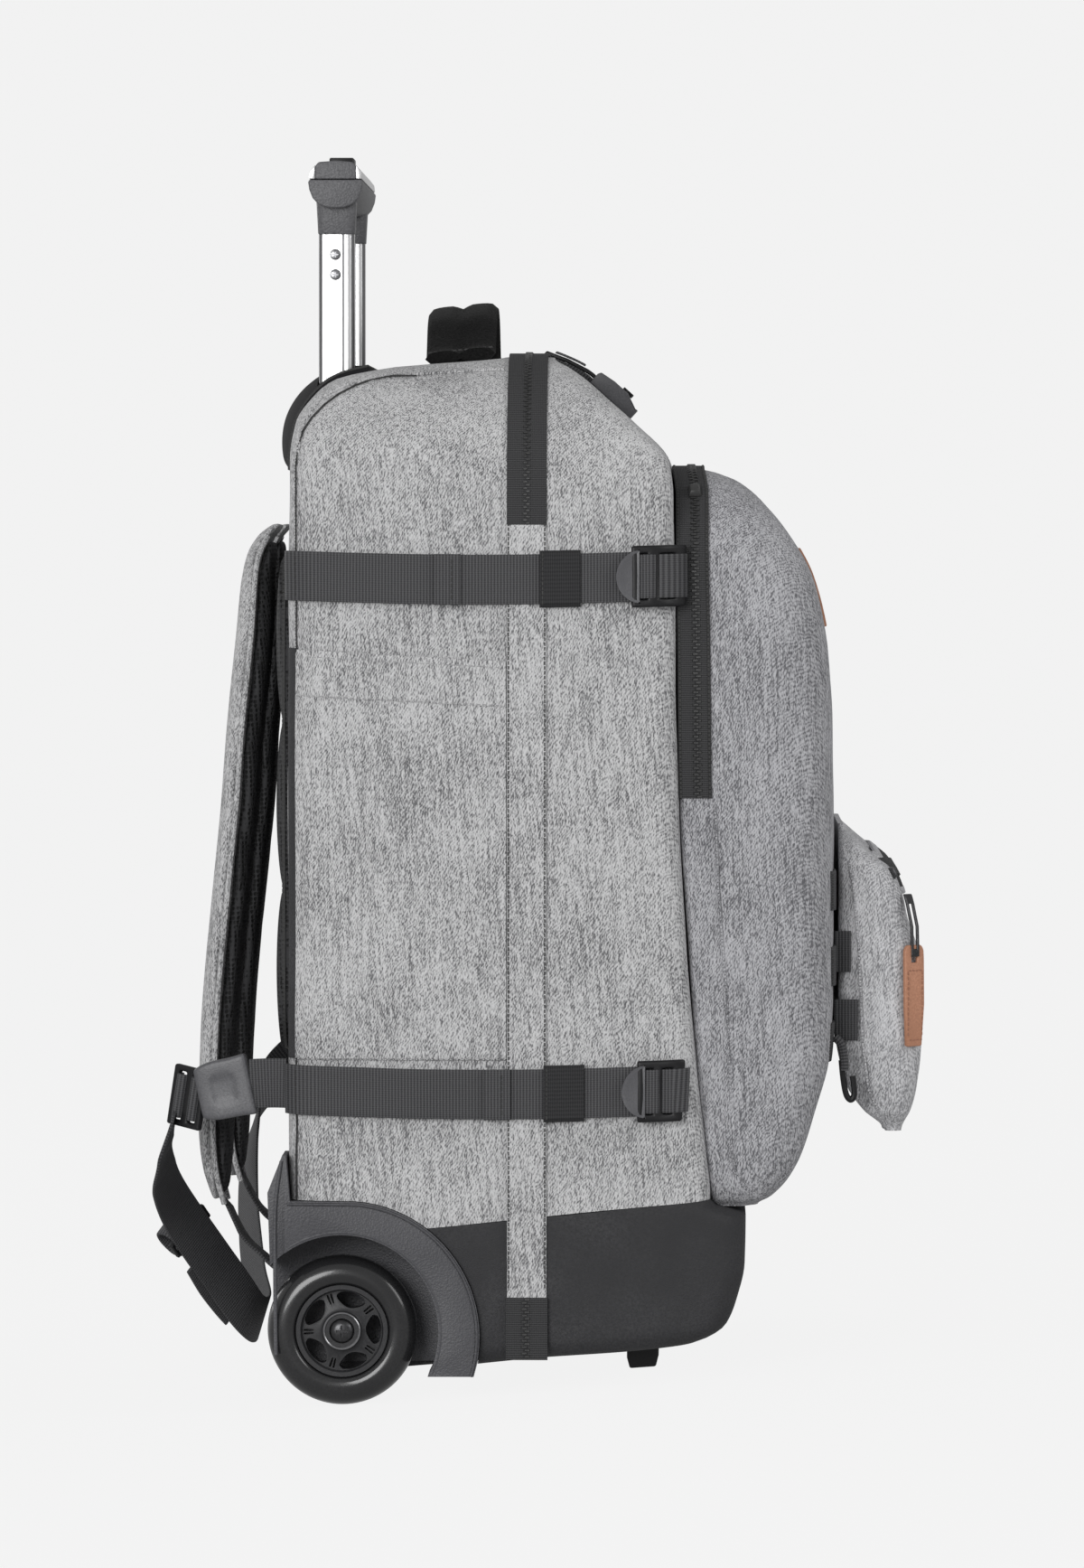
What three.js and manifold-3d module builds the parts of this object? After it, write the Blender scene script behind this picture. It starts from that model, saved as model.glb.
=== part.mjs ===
// A wheeled backpack, standing on its two wheels and two feet. Millimetres, Z up, the front towards -Y.
// The bag is built upright in its own group, x across, depth d forward from the back face, z above the
// wheels' lowest point, and the group is then leaned forward until the feet touch the floor.
import * as THREE from "three";
import { mergeVertices } from "three/addons/utils/BufferGeometryUtils.js";
import Module from "manifold-3d";

const cornerSteps = 3; // facets of a rounded corner in plan

const wasm = await Module();
wasm.setup();

// Driving dimensions of the cloth body
const bodyWidth = 330; // across the side panels
const bodyTop = 531; // top of the bag above the wheels' lowest point
const bodyDepth = 213; // back face to the front of the grey body at its foot
const sideCrown = 3.5; // how far the side panels puff out in their middle
const topEdgeRadius = 70; // where the side panels roll over into the top
const backCorner = 15; // plan radius of the back upright edges
const frontCorner = 12; // plan radius of the front upright edges
const clothWall = 2;
const clearance = 0.3; // kept between pieces that touch
const joinHeight = 83; // grey cloth meets the black base here, at the back
const baseSlope = 0.1; // the base rises this much for each millimetre forward
const baseBottom = 11; // underside of the base at the back
const baseDepth = 231; // back face to the front of the black base

// Front pocket and the pouch on it
const pocketWidth = 306;
const pocketTop = 473.6;
const pocketReach = 275.5; // back face of the bag to the pocket's front
const pocketCorner = 42; // plan radius of the pocket's front edges
const pocketTopRadius = 58; // its two upper corners, seen from the front
const pocketSeat = 0.8; // gap between the body's front and the pocket
const zipBand = 16; // depth of the front zip's tape
const frontZipEnd = 307; // height where the front zip stops
const pouchWidth = 196;
const pouchReach = 322; // back face of the bag to the pouch's front
const pouchStandoff = 3.2; // the webbing rows and bands lie between the pocket and the pouch
const pouchTop = 291.6;
const pouchBottom = 134;
const pouchCorner = 24;
const pouchZipWidth = 15;
const pouchZipLength = 176;
const pullWidth = 6; // the metal pull of the pouch's zip
const pullThickness = 1.6;
const tabWidth = 14.5; // the leather tab that hangs on the pull
const tabThickness = 2.3;
const tabTop = 230;
const tabFoot = 178;
const hookAside = 14; // the hook's middle, outside the pouch's side
const hookWidth = 12;
const hookLength = 28;
const hookThickness = 3;
const rowWidth = 20; // webbing rows on the pocket
const rowLength = 250;
const rowPitch = 38.5;
const topRowHeight = 259;
const bandWidth = 21; // webbing bands that hold the pouch
const bandReach = 10; // how far they come forward along the pouch's sides
const upperBandHeight = 225;
const lowerBandHeight = 192;
const labelWidth = 62;
const labelHeight = 40;
const labelMiddle = 412;
const labelThickness = 1.3;

// Bands over the body
const gussetDepth = 110.5; // back face to the gusset band's back edge
const gussetWidth = 20;
const tapeThickness = 1;
const mainZipEnd = 445; // height where the main zip stops
const sidePocketFoot = 176;
const sidePocketTop = 376;
const sidePocketBack = 4;
const sidePocketThickness = 1.2;
const backPanelTop = 430;
const backPanelFoot = 176;
const backPanelWidth = 284;
const backPanelThickness = 9;
const coverWidth = 160;
const coverFoot = 474;
const coverReach = 46; // how far the cover comes forward over the top
const coverThickness = 3.4;

// Webbing and its fastenings
const webbingWidth = 25;
const webbingThickness = 1.4;
const strapLift = 1.8; // straps pass over the gusset band
const upperStrapHeight = 419.5;
const lowerStrapHeight = 158.5;
const strapEnd = 196; // the strap's front end, sewn in beside the front zip
const strapStart = 1.5;
const keeperDepth = 137; // middle of the elastic keeper
const keeperWidth = 20;
const buckleDepth = 183; // middle of the ladder-lock buckle
const buckleLength = 28;
const buckleHeight = 32;
const buckleThickness = 4;
const buckleBar = 3.6;

// Carry handle and lock
const handleMiddle = 84.5; // depth of the carry handle's middle line
const handleWidth = 37;
const handleRise = 29;
const handleSpan = 156; // between the two sewn ends
const handleThickness = 5;
const lockMiddle = 160.5;
const lockWidth = 34;
const lockLength = 28;
const lockThickness = 9;
const tongueWidth = 11;
const tongueLength = 36;
const tongueThickness = 2.2;

// Trolley
const tubeSpacing = 140; // between the two tubes' middle lines
const tubeDepth = 18.2;
const tubeWidth = 14;
const tubeMiddle = 21; // depth of the tubes' middle lines
const tubeFoot = 120; // lower end of the sliding tubes as shown
const tubeRadius = 4;
const tubeWall = 1.4;
const slideClearance = 0.5;
const guideWall = 1.5;
const guideTop = 492;
const gripWidth = 176;
const gripBottom = 607;
const gripTop = 630.5;
const gripDepth = 28;
const collarBottom = 594;
const collarWall = 2.2;
const socketDepth = 12;
const buttonLength = 26;
const buttonDepth = 12.8;
const buttonTop = 636.5;
const buttonTravel = 3;
const buttonSeat = 620; // bottom of the button as shown

// Wheels, housings and feet
const wheelRadius = 38;
const wheelDepth = 27; // wheel axis forward of the back face
const tyreWidth = 24;
const wheelTrack = 304; // between the two wheels' middle planes
const hubRadius = 23.7;
const hubRimInner = 20.3;
const hubWidth = 18;
const bossRadius = 10;
const axleRadius = 4;
const headRadius = 6;
const spokeCount = 5;
const webThickness = 7;
const housingWidth = 336; // across the two housings' faces
const housingInner = 132; // inner plates from the bag's middle
const housingWall = 2.5;
const archInner = 49; // wheel arch about the wheel axis
const archTop = 66; // outer edge of the housing above the axis
const archFront = 70.5; // and in front of it
const legFoot = 15.5;
const wingReach = 10.5; // the wing behind the back face
const wingTop = 108;
const spikeTop = 127;
const plateFoot = 20;
const restLean = 4.2; // degrees the standing bag leans forward
const footSpacing = 130;
const footDepth = 178.5; // middle of the feet forward of the back face
const footLength = 16.4;
const footTaper = 1.6;
const footWidth = 24;

// Shoulder straps and waist belt
const strapPadWidth = 62;
const strapPadThickness = 17;
const strapWebWidth = 25;
const strapBow = 84; // widest distance of a shoulder strap's middle from the bag's middle
const strapTopSpread = 46;
const strapWebFoot = 42; // height where the strap's webbing is sewn in
const beltInset = 8; // the belt's ends inside the bag's width
const beltHeight = 163;
const beltReach = 66; // how far the belt's loose webbing hangs behind the back

const cloth = [0x8d8f93, 0.9, 0];
const darkCloth = [0x2b2b2d, 0.85, 0];
const webbing = [0x1c1c1d, 0.8, 0];
const mesh = [0x202022, 0.95, 0];
const leather = [0xb87650, 0.6, 0];
const plastic = [0x26272a, 0.5, 0];
const greyPlastic = [0x45464b, 0.55, 0];
const tyreRubber = [0x0d0d0e, 0.15, 0];
const silver = [0xc9cacc, 0.3, 1];
const steel = [0x8b8c90, 0.35, 1];

// One point of the bag: across, forward of the back face, and up.
const at = (x, depth, z) => new THREE.Vector3(x, -depth, z);
const lerp = THREE.MathUtils.lerp;
const radians = THREE.MathUtils.degToRad;

// A closed geometry from points and triangles, turned face out.
function closed(points, faces) {
  let volume = 0;
  for (let i = 0; i < faces.length; i += 3) {
    const [a, b, c] = [points[faces[i]], points[faces[i + 1]], points[faces[i + 2]]];
    volume += a.dot(b.clone().cross(c));
  }
  const turned = volume < 0 ? faces.slice().reverse() : faces;
  const geometry = new THREE.BufferGeometry().setFromPoints(points);
  geometry.setIndex(turned);
  return geometry;
}

// A solid through rings of equal count, with its two ends filled from their middles.
function loft(rings) {
  const count = rings[0].length;
  const points = rings.flat();
  const faces = [];
  for (let r = 0; r + 1 < rings.length; r += 1) {
    for (let i = 0; i < count; i += 1) {
      const a = r * count + i;
      const b = r * count + ((i + 1) % count);
      faces.push(a, b, b + count, a, b + count, a + count);
    }
  }
  for (const start of [0, (rings.length - 1) * count]) {
    const middle = new THREE.Vector3();
    for (let i = 0; i < count; i += 1) middle.addScaledVector(points[start + i], 1 / count);
    points.push(middle);
    for (let i = 0; i < count; i += 1) {
      const pair = [start + i, start + ((i + 1) % count)];
      if (start === 0) pair.reverse();
      faces.push(pair[0], pair[1], points.length - 1);
    }
  }
  return closed(points, faces);
}

// three.js geometry to a solid that can be cut and joined, and back.
function solid(geometry) {
  const bare = geometry.clone();
  bare.deleteAttribute("normal");
  bare.deleteAttribute("uv");
  const merged = mergeVertices(bare, 1e-4);
  const numbers = { numProp: 3 };
  numbers.vertProperties = new Float32Array(merged.attributes.position.array);
  numbers.triVerts = new Uint32Array(merged.index.array);
  return new wasm.Manifold(new wasm.Mesh(numbers));
}

function geometryOf(made) {
  const result = made.getMesh();
  const geometry = new THREE.BufferGeometry();
  const positions = new THREE.BufferAttribute(new Float32Array(result.vertProperties), 3);
  geometry.setAttribute("position", positions);
  geometry.setIndex(new THREE.BufferAttribute(new Uint32Array(result.triVerts), 1));
  return geometry;
}

// A box between two corners given as across, forward and up.
function block(low, high) {
  const size = high.map((value, i) => value - low[i]);
  const geometry = new THREE.BoxGeometry(size[0], size[1], size[2]);
  const middle = high.map((value, i) => (value + low[i]) / 2);
  return solid(geometry.translate(middle[0], -middle[1], middle[2]));
}

// A side-view outline of [depth, height] pairs as a slab between two places across the bag.
function slab(outline, from, to) {
  const shape = new THREE.Shape(outline.map(([depth, z]) => new THREE.Vector2(depth, z)));
  const geometry = new THREE.ExtrudeGeometry(shape, { depth: to - from, bevelEnabled: false });
  const turn = new THREE.Matrix4().set(0, 0, -1, to, -1, 0, 0, 0, 0, 1, 0, 0, 0, 0, 0, 1);
  return solid(geometry.applyMatrix4(turn));
}

// Points of an arc about a side-view centre, angles in degrees from forward towards up.
function arc(centre, startRadius, endRadius, start, end, steps) {
  return Array.from({ length: steps + 1 }, (_, i) => {
    const share = i / steps;
    const angle = radians(lerp(start, end, share));
    const radius = lerp(startRadius, endRadius, share);
    return [centre[0] + radius * Math.cos(angle), centre[1] + radius * Math.sin(angle)];
  });
}

// Flat webbing along a path, its width along the given direction at each point.
function band(points, across, width, thickness) {
  const rings = points.map((point, i) => {
    const before = points[Math.max(i - 1, 0)];
    const after = points[Math.min(i + 1, points.length - 1)];
    const along = after.clone().sub(before).normalize();
    const wide = (Array.isArray(across) ? across[i] : across).clone();
    wide.addScaledVector(along, -wide.dot(along)).normalize();
    const out = along.clone().cross(wide);
    const corners = [[-1, -1], [1, -1], [1, 1], [-1, 1]];
    return corners.map(([w, t]) =>
      point.clone().addScaledVector(wide, (w * width) / 2).addScaledVector(out, (t * thickness) / 2),
    );
  });
  return loft(rings);
}

const smooth = (points, steps) => new THREE.CatmullRomCurve3(points).getPoints(steps);

// A level section of a soft body: a rectangle with rounded corners, its sides crowned outwards.
function section(row, inset) {
  const half = row.half - inset;
  const back = row.back + inset;
  const front = row.front - inset;
  const room = (front - back) / 2 - 0.2;
  const radiusOf = (radius) => Math.max(Math.min(radius - inset, room), 0.3);
  const frontRadius = radiusOf(row.frontRadius);
  const backRadius = radiusOf(row.backRadius);
  const ring = [];
  const corner = (side, edge, inward, radius, start) => {
    for (let i = 0; i <= cornerSteps; i += 1) {
      const angle = radians(start + (90 * i) / cornerSteps);
      const across = side * (half - radius) + radius * Math.cos(angle);
      ring.push([across, edge + inward * radius + radius * Math.sin(angle)]);
    }
  };
  const side = (across, from, to) => {
    for (const share of [0.25, 0.5, 0.75]) ring.push([across, lerp(from, to, share)]);
  };
  corner(1, front, -1, frontRadius, 0);
  corner(-1, front, -1, frontRadius, 90);
  if (row.crown !== undefined) side(-half, front - frontRadius, back + backRadius);
  corner(-1, back, 1, backRadius, 180);
  corner(1, back, 1, backRadius, 270);
  if (row.crown !== undefined) side(half, back + backRadius, front - frontRadius);
  return ring.map(([across, depth]) => {
    const share = (depth - back) / (front - back);
    const puff = (row.crown ?? 0) * 4 * share * (1 - share) * (across / half);
    return at(across + puff, depth, row.z + row.rise * inset + baseSlope * row.tilt * depth);
  });
}

// The solid inside a table of sections, moved in by an inset or out by a negative one.
const bodyOf = (rows, inset) => solid(loft(rows.map((row) => section(row, inset))));

// The half width of a form whose upper corners are rounded, seen from the front.
function rounded(half, top, radius, z) {
  const above = Math.min(Math.max(z - (top - radius), 0), radius);
  return half - radius + Math.sqrt(radius * radius - above * above);
}

// The grey body: heights and front places as shares of the body's height and depth.
const bodySections = [
  // height, back, front, tilt of the base, crown, inward rise
  [0.158, 0, 1, 1, 0, 0],
  [0.207, 0, 0.99, 0.8, 0.2, 0],
  [0.311, 0, 0.965, 0.4, 0.6, 0],
  [0.435, 0, 0.944, 0, 1, 0],
  [0.578, 0, 0.922, 0, 1, 0],
  [0.734, 0, 0.918, 0, 1, 0],
  [0.821, 0, 0.914, 0, 0.7, 0],
  [0.863, 0, 0.914, 0, 0.4, 0],
  [0.898, 0, 0.901, 0, 0.2, -0.3],
  [0.936, 0.014, 0.817, 0, 0.1, -0.7],
  [0.96, 0.052, 0.751, 0, 0, -1],
  [0.977, 0.103, 0.704, 0, 0, -1],
  [0.989, 0.235, 0.662, 0, 0, -1],
  [1, 0.507, 0.62, 0, 0, -1],
].map(([height, back, front, tilt, crown, rise], i) => {
  const z = i === 0 ? joinHeight + clearance : height * bodyTop;
  return {
    z: z, back: back * bodyDepth, front: front * bodyDepth, tilt: tilt, rise: rise,
    crown: crown * sideCrown, half: rounded(bodyWidth / 2, bodyTop, topEdgeRadius, z),
    backRadius: backCorner, frontRadius: frontCorner,
  };
});

// The black base: heights as shares of its own height, fronts as shares of its own depth.
const baseSections = [
  // height, back, front, narrowing at the side, inward rise
  [0, 0.04, 0.89, 8, 1],
  [0.03, 0.015, 0.922, 4, 1],
  [0.11, 0, 0.957, 0.5, 0.6],
  [0.28, 0, 0.98, 0, 0],
  [0.53, 0, 0.998, 0, 0],
  [0.87, 0, 1, 0, -1],
  [0.94, 0, bodyDepth / baseDepth, 0, -1],
  [1, 0, bodyDepth / baseDepth, 0, 0],
].map(([height, back, front, narrow, rise]) => ({
  z: lerp(baseBottom, joinHeight, height), back: back * baseDepth, front: front * baseDepth,
  tilt: 1, rise: rise, half: bodyWidth / 2 - narrow,
  backRadius: backCorner, frontRadius: frontCorner,
}));

// A column of the grey body's sections, read at a height on its front.
function bodyAt(column, z) {
  const places = bodySections.map((row) => [row.z + baseSlope * row.tilt * row.front, row[column]]);
  const after = Math.max(places.findIndex(([height]) => height >= z), 1);
  const [low, high] = [places[after - 1], places[after]];
  return lerp(low[1], high[1], THREE.MathUtils.clamp((z - low[0]) / (high[0] - low[0]), 0, 1));
}

const bodyFront = (z) => bodyAt("front", z);

// The front pocket: heights as shares of its top, fronts as shares of its reach.
const pocketSections = [
  // height, front, narrowing at the side, inward rise
  [0.2115, 0.862, 10, 1],
  [0.2196, 0.886, 5, 1],
  [0.2386, 0.918, 1.5, 0.5],
  [0.268, 0.944, 0, 0],
  [0.3157, 0.969, 0, 0],
  [0.3737, 0.994, 0, 0],
  [0.443, 1, 0, 0],
  [0.633, 1, 0, 0],
  [0.729, 0.998, 0, 0],
  [0.8045, 0.991, 0, 0],
  [0.8311, 0.9837, 0, 0],
  [0.8826, 0.96, 0, -0.3],
  [0.9195, 0.9274, 0, -0.6],
  [0.9544, 0.8842, 0, -1],
  [0.986, 0.824, 0, -1],
  [0.9966, 0.779, 0, -1],
  [1, 0.755, 0, -1],
].map(([height, front, narrow, rise]) => {
  const z = height * pocketTop;
  const back = z < joinHeight + baseSlope * baseDepth ? bodyDepth + 10 : bodyFront(z) + pocketSeat;
  return {
    z: z, back: back, front: front * pocketReach, tilt: 0, rise: rise,
    half: rounded(pocketWidth / 2, pocketTop, pocketTopRadius, z) - narrow,
    backRadius: 4, frontRadius: pocketCorner,
  };
});

// The pouch: heights from its top to its foot, reach from the pocket's face.
const pouchSections = [
  // height, back, front, narrowing at the side, inward rise
  [1, 0, 0.05, 22, -1],
  [0.95, 0, 0.2, 10, -1],
  [0.9, 0, 0.42, 4, -0.7],
  [0.845, 0, 0.65, 1, -0.5],
  [0.762, 0, 0.77, 0, -0.3],
  [0.67, 0, 0.855, 0, 0],
  [0.582, 0, 0.945, 0, 0],
  [0.467, 0, 1, 0, 0],
  [0.28, 0.02, 0.99, 0, 0],
  [0.16, 0.09, 0.93, 1, 0],
  [0.07, 0.3, 0.86, 5, 0.6],
  [0.0, 0.55, 0.76, 14, 1],
].map(([height, back, front, narrow, rise]) => {
  const behind = pocketReach + pouchStandoff;
  return {
    z: lerp(pouchBottom, pouchTop, height), tilt: 0, rise: rise,
    back: lerp(behind, pouchReach, back), front: lerp(behind, pouchReach, Math.max(front, back + 0.06)),
    half: pouchWidth / 2 - narrow, backRadius: 3, frontRadius: pouchCorner,
  };
});

const bag = new THREE.Group();

// Adds one named piece to the bag.
function piece(name, shape, [color, roughness, metalness]) {
  const geometry = shape.isBufferGeometry ? shape : geometryOf(shape);
  const material = new THREE.MeshStandardMaterial({ color, roughness, metalness });
  const made = new THREE.Mesh(geometry, material);
  made.name = name;
  bag.add(made);
}

const sides = [["left", -1], ["right", 1]];
const far = 400; // beyond every piece, for cutting

// A box on one side of the bag, between two distances from its middle.
function sideBlock(side, near, away, low, high) {
  const across = [side * near, side * away].sort((a, b) => a - b);
  return block([across[0], low[0], low[1]], [across[1], high[0], high[1]]);
}

// A side-view outline made solid on one side of the bag.
function sideSlab(outline, side, near, away) {
  const across = [side * near, side * away].sort((a, b) => a - b);
  return slab(outline, across[0], across[1]);
}

// The skin over a soft body at a lift, kept only inside a region.
function patch(rows, lift, thickness, region) {
  return bodyOf(rows, -lift - thickness).subtract(bodyOf(rows, -lift)).intersect(region);
}

// Wheel housing outlines, seen from the side
const axle = [wheelDepth, wheelRadius];
function housingOutline(grow) {
  const front = arc(axle, archFront + grow, archTop + grow, -19, 84, 12);
  return [
    [front[0][0], legFoot - grow], ...front,
    [1 + grow, axle[1] + archTop + grow], [-1 + grow, spikeTop + 2 * grow],
    [-3 - grow, spikeTop + grow], [-wingReach - grow, wingTop],
    [-wingReach + 3 - grow, plateFoot - grow], [wheelDepth + archInner - 5, plateFoot - grow],
    [wheelDepth + archInner - 7, legFoot - grow],
  ];
}

// The room that the housing and its wheel take out of the cloth.
function housingRoom(side) {
  const near = housingInner - clearance;
  const away = housingWidth / 2 + 40;
  const under = [wheelDepth + archInner - 4, plateFoot + 12];
  const below = sideBlock(side, near, away, [-far, -far], under);
  return sideSlab(housingOutline(clearance), side, near, away).add(below);
}

// Where the trolley tubes pass up through the cloth
const tubePlaces = [-tubeSpacing / 2, tubeSpacing / 2];
function tubeRoom(x, gap, low, high) {
  const depths = [tubeMiddle - tubeDepth / 2 - gap, tubeMiddle + tubeDepth / 2 + gap];
  const half = tubeWidth / 2 + gap;
  return block([x - half, depths[0], low], [x + half, depths[1], high]);
}

function addBody() {
  const inside = bodySections.map((row, i) => (i === 0 ? { ...row, z: row.z - 8 } : row));
  let shell = bodyOf(bodySections, 0).subtract(bodyOf(inside, clothWall));
  for (const [, side] of sides) shell = shell.subtract(housingRoom(side));
  for (const x of tubePlaces) shell = shell.subtract(tubeRoom(x, slideClearance, guideTop, far * 2));
  piece("main_body", shell, cloth);
}

function addBase() {
  const last = baseSections.length - 1;
  const inside = baseSections.map((row, i) => (i === last ? { ...row, z: row.z + 8 } : row));
  let tub = bodyOf(baseSections, 0).subtract(bodyOf(inside, clothWall));
  for (const [, side] of sides) tub = tub.subtract(housingRoom(side));
  piece("base_tub", tub, darkCloth);
}

// Zip and gusset bands run round the body in one upright plane.
function addGussets() {
  const depths = [gussetDepth, gussetDepth + gussetWidth];
  const above = block([-far, depths[0], mainZipEnd], [far, depths[1], far * 2]);
  piece("main_zip", patch(bodySections, clearance, tapeThickness, above), darkCloth);
  const baseTop = joinHeight + baseSlope * depths[1];
  for (const [name, side] of sides) {
    const below = sideBlock(side, 20, far, [depths[0], baseTop + 1], [depths[1], mainZipEnd - clearance]);
    piece(`gusset_band_${name}`, patch(bodySections, clearance, tapeThickness, below), cloth);
  }
}

function addSidePockets() {
  for (const [name, side] of sides) {
    const end = gussetDepth - clearance;
    const region = sideBlock(side, 100, far, [sidePocketBack, sidePocketFoot], [end, sidePocketTop]);
    piece(`side_pocket_${name}`, patch(bodySections, clearance, sidePocketThickness, region), cloth);
  }
}

// The padded back panel, its edges rounded off.
function addBackPanel() {
  const ringAt = (share) => {
    const ring = [];
    const rise = 6 * share * share;
    const half = backPanelWidth / 2 - 9 * share * share;
    const low = backPanelFoot + rise * 3;
    const high = backPanelTop - rise;
    const radius = 30 - 5 * share;
    const corners = [[1, high, -1, 0], [-1, high, -1, 90], [-1, low, 1, 180], [1, low, 1, 270]];
    for (const [side, edge, inward, start] of corners) {
      for (let i = 0; i <= cornerSteps; i += 1) {
        const angle = radians(start + (90 * i) / cornerSteps);
        const z = edge + inward * radius + radius * Math.sin(angle);
        const x = side * (half - radius) + radius * Math.cos(angle);
        ring.push(at(x, -clearance - backPanelThickness * share, z));
      }
    }
    return ring;
  };
  piece("back_panel", loft([0, 0.6, 0.9, 1].map(ringAt)), mesh);
}

// The black cover over the back upper corner, with the two slots for the tubes.
function addHandleCover() {
  const half = coverWidth / 2;
  const region = block([-half, -far, coverFoot], [half, coverReach, far * 2]);
  let cover = patch(bodySections, clearance, coverThickness, region);
  for (const x of tubePlaces) cover = cover.subtract(tubeRoom(x, slideClearance, guideTop, far * 2));
  piece("handle_cover", cover, darkCloth);
}

// The front pocket is open towards the body; its zip is the upper part of its back edge.
function addFrontPocket() {
  const inside = pocketSections.map((row) => ({ ...row, back: row.back - 8 }));
  const shell = bodyOf(pocketSections, 0).subtract(bodyOf(inside, clothWall));
  const strip = (gap) => {
    const above = [0.32, 0.68, 0.91].map((share) => lerp(frontZipEnd, pocketTop, share));
    const heights = [frontZipEnd - gap, ...above, pocketTop + 30];
    const front = heights.map((z) => [bodyFront(Math.min(z, pocketTop)) + zipBand + gap, z]);
    return slab([[50, heights[0]], ...front, [50, pocketTop + 30]], -far, far);
  };
  piece("front_pocket", shell.subtract(strip(clearance)), cloth);
  piece("front_zip", shell.intersect(strip(0)), darkCloth);
}

function addLabel() {
  const half = labelWidth / 2;
  const region = block(
    [-half, pocketReach - pocketCorner, labelMiddle - labelHeight / 2],
    [half, far, labelMiddle + labelHeight / 2],
  );
  piece("label", patch(pocketSections, clearance, labelThickness, region), leather);
}

// Rows of webbing sewn across the front pocket.
function addWebbingRows() {
  for (let i = 0; i < 3; i += 1) {
    const middle = topRowHeight - i * rowPitch;
    const low = [-rowLength / 2, pocketReach - pocketCorner, middle - rowWidth / 2];
    const region = block(low, [rowLength / 2, far, middle + rowWidth / 2]);
    piece(`webbing_row_${i + 1}`, patch(pocketSections, clearance, 0.9, region), webbing);
  }
}

// The slot of the pouch and the zip that fills it lie across its upper front.
const pouchSlot = [[0.92, 0.62], [0.78, 0.86]];
function pouchZipRoom(gap) {
  const point = ([height, reach]) => [
    lerp(pocketReach, pouchReach, reach),
    lerp(pouchBottom, pouchTop, height),
  ];
  const [upper, lower] = pouchSlot.map(point);
  const middle = [(upper[0] + lower[0]) / 2, (upper[1] + lower[1]) / 2];
  const along = new THREE.Vector2(lower[0] - upper[0], lower[1] - upper[1]).normalize();
  const half = pouchZipWidth / 2 + gap;
  const deep = pouchZipWidth;
  const corners = [[-half, -deep], [half, -deep], [half, deep], [-half, deep]].map(([a, n]) => [
    middle[0] + a * along.x - n * along.y,
    middle[1] + a * along.y + n * along.x,
  ]);
  const reach = pouchZipLength / 2 + gap;
  return slab(corners, -reach, reach);
}

function addPouch() {
  const deep = pouchSections.filter((row) => row.front - row.back > 3 * clothWall);
  const shell = bodyOf(pouchSections, 0).subtract(bodyOf(deep, clothWall));
  piece("pouch", shell.subtract(pouchZipRoom(clearance)), cloth);
  piece("pouch_zip", shell.intersect(pouchZipRoom(0)), darkCloth);
}

// Bands from the pocket's face round both sides of the pouch.
function addPouchBands() {
  for (const [name, height] of [["upper", upperBandHeight], ["lower", lowerBandHeight]]) {
    const low = [-far, pocketReach, height - bandWidth / 2];
    const region = block(low, [far, pocketReach + bandReach, height + bandWidth / 2]);
    piece(`pouch_band_${name}`, patch(pouchSections, clearance, 0.9, region), webbing);
  }
}

// Compression straps with a keeper and a ladder-lock buckle, two on each side.
function addCompressionStraps() {
  for (const [level, height] of [["upper", upperStrapHeight], ["lower", lowerStrapHeight]]) {
    for (const [name, side] of sides) {
      const low = height - webbingWidth / 2;
      const high = height + webbingWidth / 2;
      const run = sideBlock(side, 60, far, [strapStart, low], [strapEnd, high]);
      piece(`strap_${level}_${name}`, patch(bodySections, strapLift, webbingThickness, run), webbing);

      // The keeper is a loop round the strap: its outer half lies over it and its ends turn down beside it.
      const ends = [keeperDepth - keeperWidth / 2, keeperDepth + keeperWidth / 2];
      const outerLift = strapLift + webbingThickness + clearance;
      const loop = sideBlock(side, 60, far, [ends[0], low - 2.4], [ends[1], high + 2.4]);
      const core = sideBlock(side, 60, far, [ends[0] - 1, low - clearance], [ends[1] + 1, high + clearance]);
      const over = patch(bodySections, outerLift, 1.4, loop);
      const rest = 2 * clearance + tapeThickness;
      const beside = patch(bodySections, rest, outerLift + 1.2 - rest, loop).subtract(core);
      piece(`keeper_${level}_${name}`, over.add(beside), webbing);

      piece(`buckle_${level}_${name}`, buckle(side, height, outerLift), plastic);
    }
  }
}

// A plate with two slots and three bars, lying over the strap.
function buckle(side, height, lift) {
  const half = [buckleLength / 2, buckleHeight / 2];
  const shape = new THREE.Shape();
  const corner = 5;
  shape.moveTo(-half[0] + corner, -half[1]);
  shape.lineTo(half[0], -half[1]);
  shape.lineTo(half[0], half[1]);
  shape.lineTo(-half[0] + corner, half[1]);
  shape.quadraticCurveTo(-half[0] - corner, 0, -half[0] + corner, -half[1]);
  const options = { depth: buckleThickness, bevelEnabled: false, curveSegments: 6 };
  const geometry = new THREE.ExtrudeGeometry(shape, options);
  const share = (buckleDepth - half[0]) / bodyFront(height);
  const inner = bodyWidth / 2 + bodyAt("crown", height) * 4 * share * (1 - share) + lift;
  const near = side > 0 ? inner : -inner - buckleThickness;
  const turn = new THREE.Matrix4().set(
    0, 0, 1, near, -1, 0, 0, -buckleDepth, 0, 1, 0, height, 0, 0, 0, 1,
  );
  let made = solid(turnedOut(geometry.applyMatrix4(turn)));
  const slotHalf = webbingWidth / 2 + 0.8;
  const slot = (buckleLength - 4 * buckleBar) / 2;
  for (const start of [2 * buckleBar - half[0], half[0] - buckleBar - slot]) {
    const low = [buckleDepth + start, height - slotHalf];
    const high = [buckleDepth + start + slot, height + slotHalf];
    made = made.subtract(sideBlock(side, inner - 1, inner + buckleThickness + 1, low, high));
  }
  return made;
}

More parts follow.
